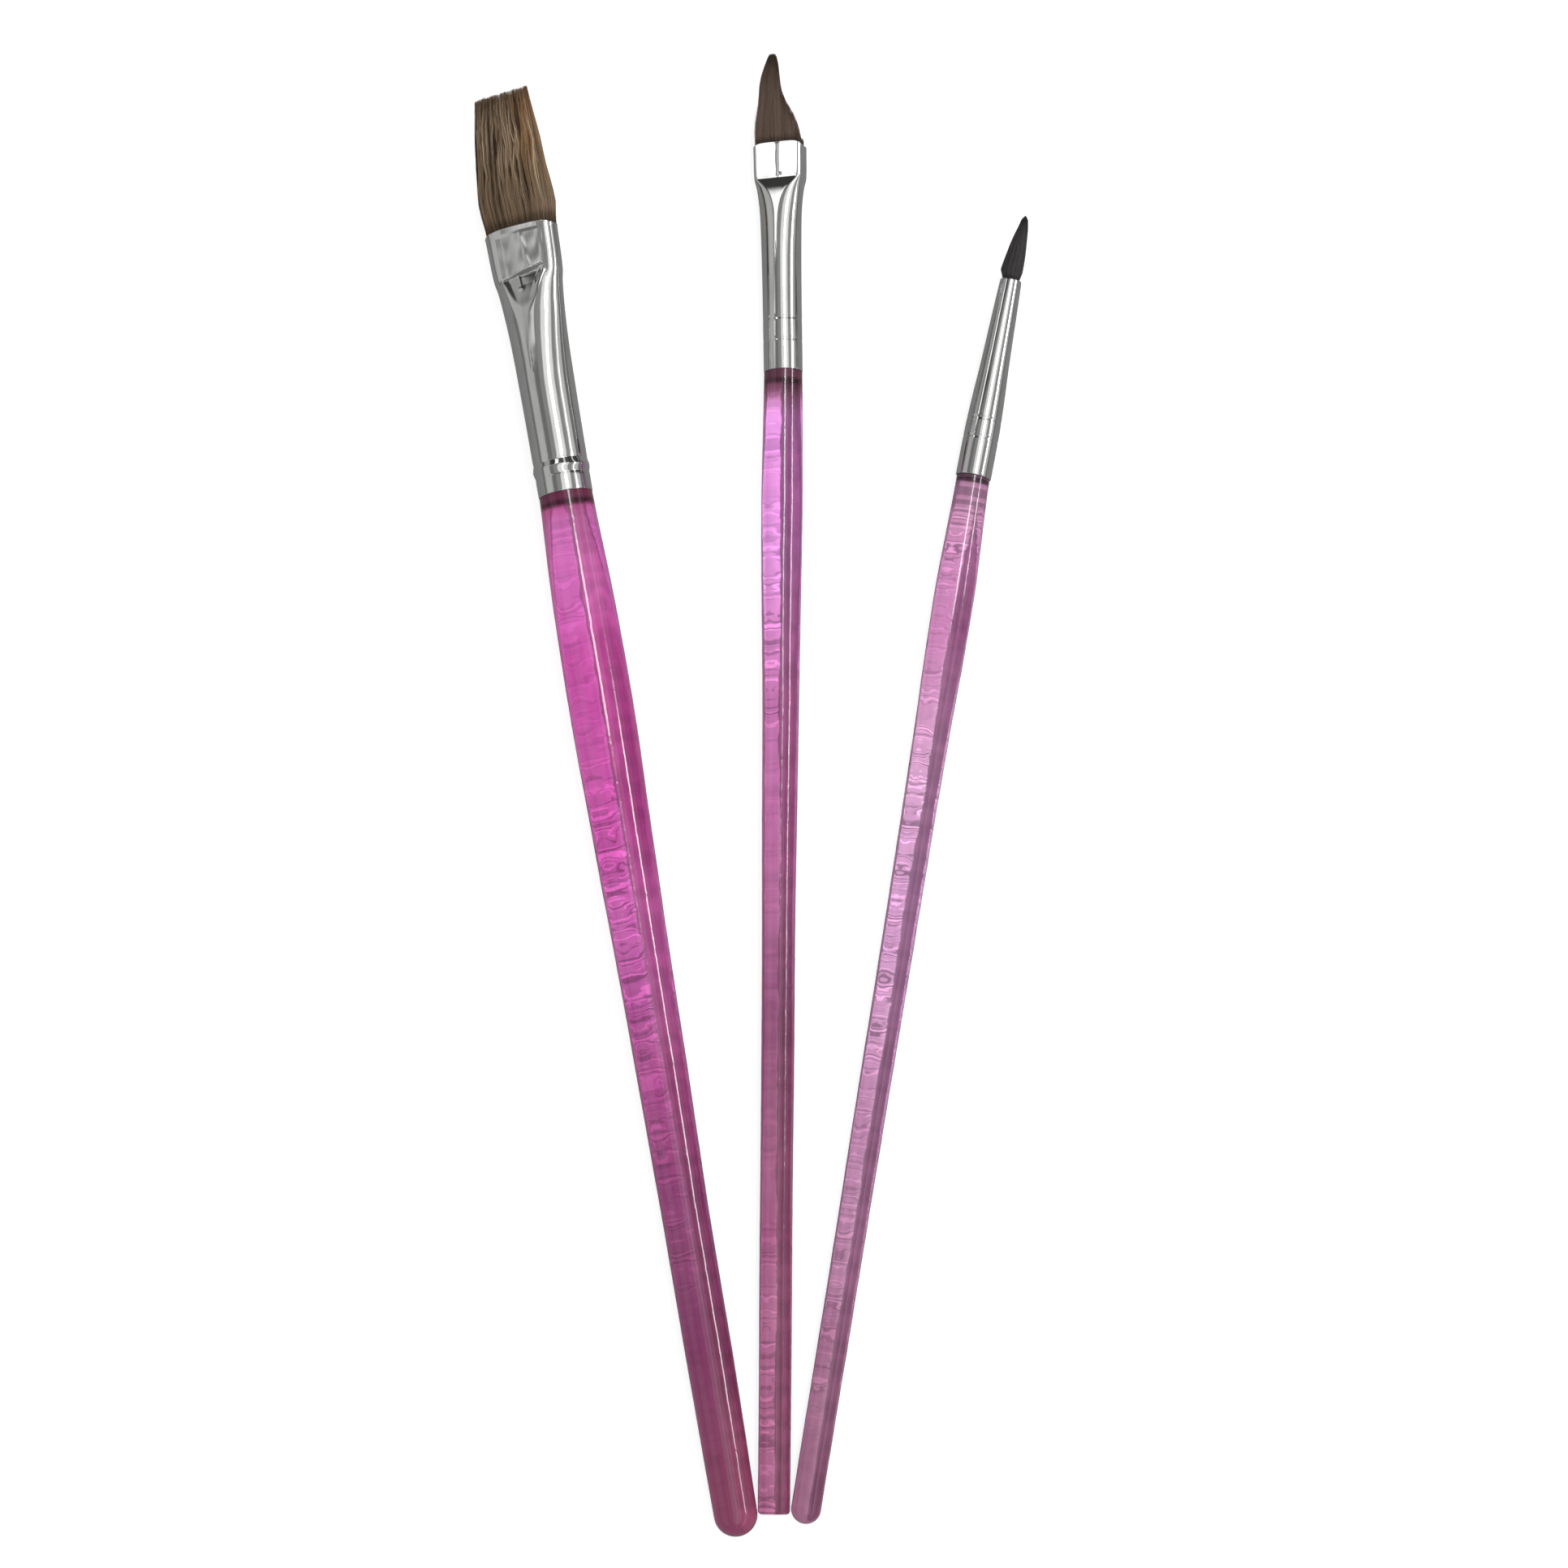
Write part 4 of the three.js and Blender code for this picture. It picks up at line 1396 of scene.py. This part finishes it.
@dataclass(frozen=True)
class PaintedHandleLight:
    """Painted light on the table under a clear handle, bright on its left and dim on its right.

    It stands in for the light that the handle gathers there. Its tables go by share of the handle's
    length. The border gives where across it the bright side ends, in radii and as the eye sees it
    through the handle, dim how bright the other side is, and painted_ripples how strong the bright
    side's painted ripples of light are. Tone is the other side's colour, and mid its brightness next
    to the border. Bright and rim are the bright side's levels, dusk is where the painted light comes
    up behind the ferrule, pitch the length of a ripple and its gap, and bars are painted bright rings
    near the ferrule, all three in millimetres.
    """

    brush: Brush
    border: tuple[tuple[float, float], ...]
    dim: tuple[tuple[float, float], ...]
    tone: str
    mid: float = 1.0
    bright: float = 0.85
    rim: float = 0.8
    dusk: tuple[float, float] = (0.6, 1.8)
    pitch: float = 1.2
    painted_ripples: tuple[tuple[float, float], ...] = ((0.0, 1.0),)
    bars: tuple[tuple[float, float], ...] = ()
    bow: float = 500.0
    magnified: float = 3.3

    def glow(self, sheet: Sheet, where: Wire) -> tuple[Wire, Wire, Wire]:
        """Paints this handle's light onto the table.

        Args:
            sheet: the table's nodes.
            where: the place on the table, in metres.

        Returns:
            1 under the handle and 0 elsewhere, how far the place is on the bright side, and its painted
            light.
        """
        brush = self.brush
        turn = math.radians(brush.yaw)
        foot = [v * MM for v in brush.foot]
        from_foot = sheet.vector("SUBTRACT", where, foot).out()
        axes = ((math.cos(turn), math.sin(turn), 0), (math.sin(turn), -math.cos(turn), 0))
        across, down = (sheet.vector("DOT_PRODUCT", from_foot, axis).out(1) for axis in axes)
        rows = brush.handle.sizes.rows
        thick, thin = max(r[1] for r in rows) / 2, rows[-1][1] / 2
        share = down / (brush.handle.length * MM)
        radius = share * ((thin - thick) * MM) + thick * MM
        seed = brush.handle.seed

        def along(table: Sequence[tuple[float, float]]) -> Wire:
            """What a table by share of the length gives, where its values run from -1 to 1."""
            stops = [(at, grey(0.5 + value / 2)) for at, value in table]
            return sheet.node("ShaderNodeValToRGB", {"stops": stops}, {0: share}).out() * 2 - 1

        def mottle(wide: float, tall: float, low: float, high: float) -> Wire:
            """Soft marks, from 0 to 1, so many to a metre across and along the handle."""
            spot = sheet.node("ShaderNodeCombineXYZ", None, {0: across * wide, 1: down * tall, 2: seed})
            return sheet.noise(spot.out(), 1.0, 2).step(low, high)

        # Painted ripples of light: uneven bright and dark marks that lie across the handle and bow.
        left = across + 0.0007
        bend = left * left * self.bow + mottle(900, 420, 0.2, 0.8) * 0.0022 + mottle(1, 160, 0.2, 0.8) * 0.002
        crossing = (down + bend) * (2 / (self.pitch * MM))
        spot = sheet.node("ShaderNodeCombineXYZ", None, {0: across * 420, 1: crossing, 2: seed + 7})
        ripple_noise = sheet.noise(spot.out(), 1.0, 1)
        ripple = ripple_noise.step(0.55, 0.61) - ripple_noise.step(0.4, 0.46, 0.8, 0.0)
        ripple = ripple * mottle(1500, 620, 0.32, 0.46) * along(self.painted_ripples)
        # Which side of the border each place is on, as the eye sees it.
        fray = (mottle(300, 260, 0.2, 0.8) - 0.5) * 0.1
        seen = (across / radius) * self.magnified + fray
        off = seen - along(self.border)
        side = off.step(-0.03, 0.03, 1.0, 0.0)
        # How bright each side is, with a painted dark line between them and painted dusk near the ferrule.
        near = share * brush.handle.length
        patch = mottle(1500, 420, 0.36, 0.64)
        dim = along(self.dim) * (off.step(0.36, 0.48, self.mid, 1.0) * (patch * 0.3 + 0.85))
        bright = (patch * 0.12 + 0.88 + ripple * 0.7) * self.bright * seen.step(-0.7, -0.2, self.rim, 1.0)
        seam = off.band(0.0, 0.02, 0.03) * share.step(0.3, 0.6, 0.5, 0.15)
        level = (side * (bright - dim) + dim) * (1 - seam)
        level = level * (near + fray * 8).step(*self.dusk, 0.42, 1.0)
        for start, end in self.bars:
            level = near.band((start + end) / 2, (end - start) / 2, 0.15) * side * 0.35 + level
        under = abs(across / radius).step(0.95, 1.1, 1.0, 0.0)
        under = under * share.step(-0.06, -0.05) * share.step(1.01, 1.04, 1.0, 0.0)
        return under, side, level


def flat_sheet(
    name: str, low: Sequence[float], high: Sequence[float], height: float, faces_down: bool = False
) -> bpy.types.Object:
    """Makes a level sheet that belongs to the studio.

    Args:
        name: its name.
        low: its lowest x and y, in millimetres.
        high: its highest x and y, in millimetres.
        height: how high it lies, in millimetres.
        faces_down: whether its face looks down and not up.

    Returns:
        The sheet, in the scene.
    """
    mesh = bpy.data.meshes.new(name)
    around = ((low[0], low[1]), (high[0], low[1]), (high[0], high[1]), (low[0], high[1]))
    order = (0, 3, 2, 1) if faces_down else (0, 1, 2, 3)
    mesh.from_pydata([(x * MM, y * MM, height * MM) for x, y in around], [], [order])
    made = bpy.data.objects.new(name, mesh)
    bpy.context.scene.collection.objects.link(made)
    made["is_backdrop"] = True
    return made


@dataclass(frozen=True)
class Card:
    """A pale card over the ferrules, which only polished metal shows.

    Low and high are its corners. The levels are how bright it is at its low x and where it settles, so
    far before its high x. Its rim there is dimmer, and it goes dark over the last part of its y, the
    fade.
    """

    name: str
    low: tuple[float, float]
    high: tuple[float, float]
    levels: tuple[float, float]
    fade: float
    height: float = 104.0
    settled: float = 20.0
    rim: float = 12.0
    rim_level: float = 0.2

    def build(self) -> None:
        """Hangs the card."""
        (left, _), (right, far) = self.low, self.high
        material, sheet = blank_material(self.name)
        _, across, along, _ = sheet.place(own=False)
        level = across.step(left * MM, (right - self.settled) * MM, *self.levels)
        level = level * across.step((right - self.rim) * MM, right * MM, 1.0, self.rim_level)
        level = level * along.step((far - self.fade) * MM, far * MM, 1.0, 0.0)
        sheet.end(sheet.node("ShaderNodeEmission", None, {"Strength": level}))
        card = flat_sheet(self.name, self.low, self.high, self.height, faces_down=True)
        card.data.materials.append(material)
        card.visible_camera = card.visible_diffuse = card.visible_transmission = card.visible_shadow = False


@dataclass(frozen=True)
class Studio:
    """The table and the light: long strips in a grey room, and a white ground.

    The room is darker past its far end, which is given by the y of the direction it is seen in.
    """

    strips: tuple[Strip, ...]
    cards: tuple[Card, ...]
    gathered: tuple[PaintedHandleLight, ...]
    room: float = 0.25
    far_end: tuple[float, float] = (0.36, 0.44)
    far_share: float = 0.25
    table_half: float = 4000.0
    table_height: float = -0.15

    def _world(self) -> None:
        """Lights the world: strips by their angle over the table, white where it is looked at straight."""
        world = bpy.data.worlds.new("studio")
        world.use_nodes = True
        bpy.context.scene.world = world
        sheet = Sheet(world.node_tree)
        towards = sheet.node("ShaderNodeTexCoord").out("Generated")
        way = sheet.node("ShaderNodeSeparateXYZ", None, {0: towards})
        angle = way.out(0).angle_from(way.out(2)) * (180 / math.pi)
        along = way.out(1)
        light = along.step(*self.far_end, self.room, self.room * self.far_share)
        for strip in self.strips:
            light = strip.light(angle, along) + light
        path, eye, through = sheet.rays()
        seen = (eye + through).at_most(1.0)
        # Only metal shows the strips' full light: a clear piece shows at most the white of the room.
        most = 21
        most_through = 1
        cap = path.out("Is Transmission Ray") * (most_through - most) + most
        inside = light.at_most(cap)
        strength = inside * (1 - seen) + seen
        shader = sheet.node("ShaderNodeBackground", None, {"Strength": strength})
        sheet.end(shader, "ShaderNodeOutputWorld")

    def _floor(self) -> None:
        """Makes the table top, white to the eye, with the brushes' soft shadow on it."""
        material, sheet = blank_material("table_white")
        path, eye, through = sheet.rays()
        glossy = path.out("Is Glossy Ray") * (path.out("Diffuse Depth") < 0.5)
        # Its greys: to the eye, in polished metal, and through a clear handle.
        pale = sheet.blend(eye, colour("efefef"), grey(0.5))
        pale = sheet.blend(path.out("Glossy Depth").at_most(1.0), pale, grey(0.28))
        pale = sheet.blend(through, pale, grey(0.08))
        matt = sheet.node("ShaderNodeBsdfDiffuse", None, {"Color": pale})
        where, *_ = sheet.place(own=False)
        shown = 1.0
        tone = grey(1.0)
        # Painted light under each clear handle, which only rays through the handle see.
        for gathered in self.gathered:
            under, side, level = gathered.glow(sheet, where)
            shown = under * (level - shown) + shown
            tone = sheet.blend(under * (1 - side), tone, colour(gathered.tone))
        to_eye = 0.82
        to_metal = 0.1
        glow = eye * to_eye + through * shown + glossy * to_metal
        tint = sheet.blend(through, grey(1.0), tone)
        light = sheet.node("ShaderNodeEmission", None, {"Color": tint, "Strength": glow})
        sheet.end(sheet.node("ShaderNodeAddShader", None, {0: matt, 1: light}))
        half = self.table_half
        table = flat_sheet("table_top", (-half, -half), (half, half), self.table_height)
        table.data.materials.append(material)

    def build(self) -> None:
        """Makes the studio."""
        self._world()
        self._floor()
        for card in self.cards:
            card.build()
        bpy.context.scene.view_settings.view_transform = "Standard"


# ---------- the set

# Each handle's tint by share of its length, with painted shade in it: the darker start just below the
# ferrule, and part of how it darkens along the handle.
FLAT_PINKS = (
    (0.0, "b04672"), (0.012, "c05c98"), (0.026, "d272b9"), (0.1, "e070c4"), (0.16, "dc62b8"), (0.3, "d75fb4"),
    (0.43, "d36ab8"), (0.5, "c263a8"), (0.57, "b85a99"), (0.7, "96497a"), (0.84, "88416a"), (0.97, "8f4868"),
)
DAGGER_PINKS = (
    (0.0, "a05a78"), (0.015, "ae6688"), (0.025, "dc90c8"), (0.04, "f2a2ee"), (0.1, "f09ae6"),
    (0.156, "f2a1ec"), (0.22, "e28fd2"), (0.293, "c678b0"), (0.43, "bc70a2"), (0.567, "965a7e"),
    (0.7, "a05e82"), (0.84, "b36e94"), (1.0, "a96488"),
)
ROUND_PINKS = (
    (0.0, "c890b4"), (0.03, "cf95ba"), (0.08, "d892c4"), (0.156, "da8fc4"), (0.292, "e6aed8"),
    (0.43, "e4acda"), (0.565, "daa0ca"), (0.7, "c48cb2"), (0.84, "b57d9e"), (0.96, "a66e8b"),
)

NICKEL = Nickel()
INNER: dict[str, Finish] = {
    "binding": Thread(),
    "resin": Cured("cured_resin", "resin", "8f5a1e", "b98748"),
    "glue": Cured("cured_glue", "glue", "cfc2a8", "e2dccb"),
}

FLAT = Brush(
    name="flat", foot=(-25.2546, 38.7914, 4.8177), yaw=9.65, pitch=0.7926, lean=0.2, roll=-23.0,
    handle=Handle(
        sizes=Table((
            (0.1, 7.3), (2, 7.45), (10, 8.15), (19, 8.6), (32, 8.8), (44, 8.25), (66, 7.4), (89, 6.7),
            (105, 6.35), (125, 6.2), (139.5, 5.8),
        )),
        length=139.5, tail=Tail.ROUND, tenon=13, seed=11,
        acrylic=Acrylic("flat_pink_acrylic", "pink_acrylic", 139.5, FLAT_PINKS, "6a2c46", 1.15),
    ),
    ferrule=PanelFerrule(
        length=38, dip=0.8, crimps=(Crimp(34.4, 0.19, 0.55),),
        stations=Table((
            (0, 10.7, 4.2, 1.9, 0), (1.1, 10.6, 4.2, 1.9, 0), (6.9, 10.05, 4.3, 1.9, 0),
            (8.6, 9.5, 5, 2.4, 0.25), (13.5, 8.55, 6.2, 3.05, 0.9), (18, 8, 7.05, 3.5, 1),
            (23, 7.7, 7.65, 3.8, 1), (38, 7.45, 7.45, 3.725, 1),
        )),
    ),
    tuft=FlatTuft(
        root=6, hairs=3400, thickness=0.115, seed=21, steps=12, clumps=25, wander=0.22, gather=0.2,
        stray=0.06, gaps=0.9,
        form=Table((
            (0, 0.08, 1.02, 1), (1.5, 0.21, 1.08, 1.16), (4, 0.1, 1.1, 1.25), (8, 0.065, 1.035, 0.95),
            (12, 0.19, 0.98, 0.62), (16, 0.33, 0.89, 0.38), (19, 0.45, 0.83, 0.2),
        )),
        finish=Hair("taupe_strands", "taupe_hair", "3c2d22", "ac9175", "f6e2c2", "c68c50", 0.25),
    ),
)

DAGGER = Brush(
    name="dagger", foot=(4.4454, 56.3914, 2.9224), yaw=-0.46, pitch=0.2898, lean=1.3, roll=-18.0,
    handle=Handle(
        sizes=Table((
            (0.1, 5.25), (2, 5.3), (10.8, 5.55), (17.4, 5.7), (24.1, 5.6), (39.7, 5.15), (59.7, 4.8),
            (75, 4.55), (100, 4.42), (130, 4.38), (154.6, 4.3),
        )),
        length=154.6, tail=Tail.CUT, tenon=11, seed=12,
        acrylic=Acrylic("dagger_pink_acrylic", "pink_acrylic", 154.6, DAGGER_PINKS, "643648", 1.25),
    ),
    ferrule=SeamFerrule(
        length=32.4, dip=0.7, crimps=(Crimp(25.1, -0.025, 0.2), Crimp(28.1, -0.025, 0.2)),
        stations=Table((
            (0, 7, 3.2, 0.4, 0), (0.8, 6.95, 3.2, 0.42, 0), (5, 6.8, 3.25, 0.5, 0),
            (6.6, 6.45, 4.02, 1.5, 0.2), (9.8, 5.9, 4.7, 2.2, 0.8), (14.2, 5.6, 5.25, 2.6, 1),
            (18.7, 5.45, 5.42, 2.7, 1), (32.4, 5.35, 5.35, 2.675, 1),
        )),
    ),
    tuft=DaggerTuft(
        root=5, hairs=2100, thickness=0.11, seed=22, steps=11, stray=0.015, clumps=9, wander=0.05,
        gather=0.05, gaps=0.25,
        form=Table((
            (0, -0.05, 1.03, 1), (0.9, -0.06, 1.04, 1.02), (2.4, -0.1, 1.01, 1.05), (4.2, -0.2, 0.9, 0.95),
            (6, -0.19, 0.82, 0.75), (8, -0.36, 0.75, 0.55), (9.7, -0.46, 0.64, 0.4), (13.5, -0.2, 0.3, 0.14),
        )),
        finish=Hair("brown_strands", "brown_hair", "46382e", "8d7768", "a58f7f", "6e4d3a", 0.3, 0.6),
    ),
)

ROUND = Brush(
    name="round", foot=(30.4954, 41.6414, 2.8494), yaw=-9.36, pitch=0.3422, lean=-1.6, roll=0.0,
    handle=Handle(
        sizes=Table((
            (0.1, 4.55), (3, 4.65), (9, 5.1), (17, 5.5), (24, 5.4), (34, 5), (46, 4.7), (62, 4.5),
            (80, 4.34), (105, 4.12), (141.5, 4),
        )),
        length=141.5, tail=Tail.ROUND, tenon=10, seed=13,
        acrylic=Acrylic("round_rose_acrylic", "pale_pink_acrylic", 141.5, ROUND_PINKS, "4a2c3c", 0.45),
    ),
    ferrule=Ferrule(
        length=28.2, crimps=(Crimp(20.1, -0.03, 0.2), Crimp(22.8, -0.03, 0.2)), around=96,
        stations=Table((
            (0, 2.95, 2.95, 1.475, 1), (2, 3.15, 3.15, 1.575, 1), (13, 4.05, 4.05, 2.025, 1),
            (17, 4.5, 4.5, 2.25, 1), (22, 4.84, 4.84, 2.42, 1), (28.2, 4.88, 4.88, 2.44, 1),
        )),
    ),
    tuft=RoundTuft(
        root=4.5, hairs=1500, thickness=0.1, seed=23, steps=9, stray=0.01,
        form=Table((
            (0, 0, 1, 1), (0.5, -0.18, 1.46, 1.46), (1.8, -0.12, 1.39, 1.39), (3.2, -0.01, 1.27, 1.27),
            (5.7, 0.12, 0.97, 0.97), (7, 0.23, 0.77, 0.77), (7.9, 0.3, 0.61, 0.61), (8.9, 0.31, 0.4, 0.4),
            (9.5, 0.32, 0.22, 0.22),
        )),
        finish=Hair("black_strands", "black_hair", "2f2c2c", "504d4d", "656262", "3c332c", 0.3),
    ),
)

STUDIO = Studio(
    strips=(
        Strip(11, 18, 4.5, 1.0, high=0.55),
        Strip(-17, 8, 6, 0.15),
        Strip(12, 3, 1.5, 16.0, 0.13, 0.32),
        Strip(63, 12, 5, 0.55),
        Strip(57, 2, 2, 20.0, 0.07, 0.28),
        Strip(40, 7, 6, 0.16),
        Strip(-63, 12, 8, 0.42, high=0.4),
        Strip(-68, 10, 5, 0.45, 0.41, 0.6),
    ),
    cards=(
        Card("left_card", (-209, 92), (-80, 104), (0.22, 0.95), 4),
        Card("near_card", (-84, 108), (-50, 165), (1.7, 1.7), 25),
    ),
    gathered=(
        PaintedHandleLight(
            FLAT, tone="fff8f2", mid=1.35,
            border=((0.0, -0.03), (0.11, -0.06), (0.2, 0.02), (0.36, -0.03), (0.6, 0.1)),
            dim=((0.0, 0.45), (0.16, 0.46), (0.3, 0.38), (0.45, 0.42), (0.6, 0.4), (0.7, 0.45),
                 (0.85, 0.5), (1.0, 0.7)),
            painted_ripples=((0.0, 0.3), (0.26, 0.25), (0.31, 0.9), (0.5, 0.9), (0.56, 0.6), (0.74, 0.5),
                      (0.8, 0.15), (1.0, 0.1)),
        ),
        PaintedHandleLight(
            DAGGER, tone="ffe6f0", mid=0.6, bright=0.99, rim=0.66, dusk=(1.5, 5.0), pitch=1.6,
            border=((0.0, -0.05), (0.15, -0.08), (0.4, 0.02), (0.7, 0.0), (1.0, 0.05)),
            dim=((0.0, 0.3), (0.2, 0.28), (0.3, 0.7), (0.6, 0.8), (0.72, 0.8), (0.86, 0.6), (1.0, 0.65)),
            painted_ripples=((0.0, 0.1), (0.06, 0.5), (0.14, 0.4), (0.2, 0.8), (0.3, 0.8), (0.35, 0.15),
                      (0.72, 0.2), (0.8, 0.6)),
        ),
        PaintedHandleLight(
            ROUND, tone="ffe8f8", mid=1.6, dusk=(3.0, 5.5), pitch=0.95, bars=((0.5, 1.0), (2.4, 2.9)),
            border=((0.0, 0.2), (0.06, 0.24), (0.15, 0.14), (0.4, 0.12), (0.6, 0.12), (1.0, 0.15)),
            dim=((0.0, 0.4), (0.1, 0.2), (0.3, 0.16), (0.6, 0.15), (0.75, 0.24), (1.0, 0.28)),
            painted_ripples=((0.0, 0.2), (0.03, 0.8), (0.08, 0.8), (0.12, 0.3), (0.2, 0.5), (0.28, 0.95),
                      (0.55, 0.95), (0.6, 0.5), (0.88, 0.6), (0.94, 0.1)),
        ),
    ),
)


def corners() -> list[list[float]]:
    """The shown object's lowest and highest corner, as plain lists."""
    return [[float(v) for v in corner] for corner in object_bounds()]


def main() -> None:
    """Builds the studio and the three brushes."""
    logging.basicConfig(level=logging.INFO, format="%(message)s")
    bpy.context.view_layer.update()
    Camera().build()
    STUDIO.build()
    for brush in (FLAT, DAGGER, ROUND):
        brush.build(frame["nodes"], NICKEL, INNER)
        LOG.info("%s brush is done", brush.name)


if __name__ == "__main__":
    main()
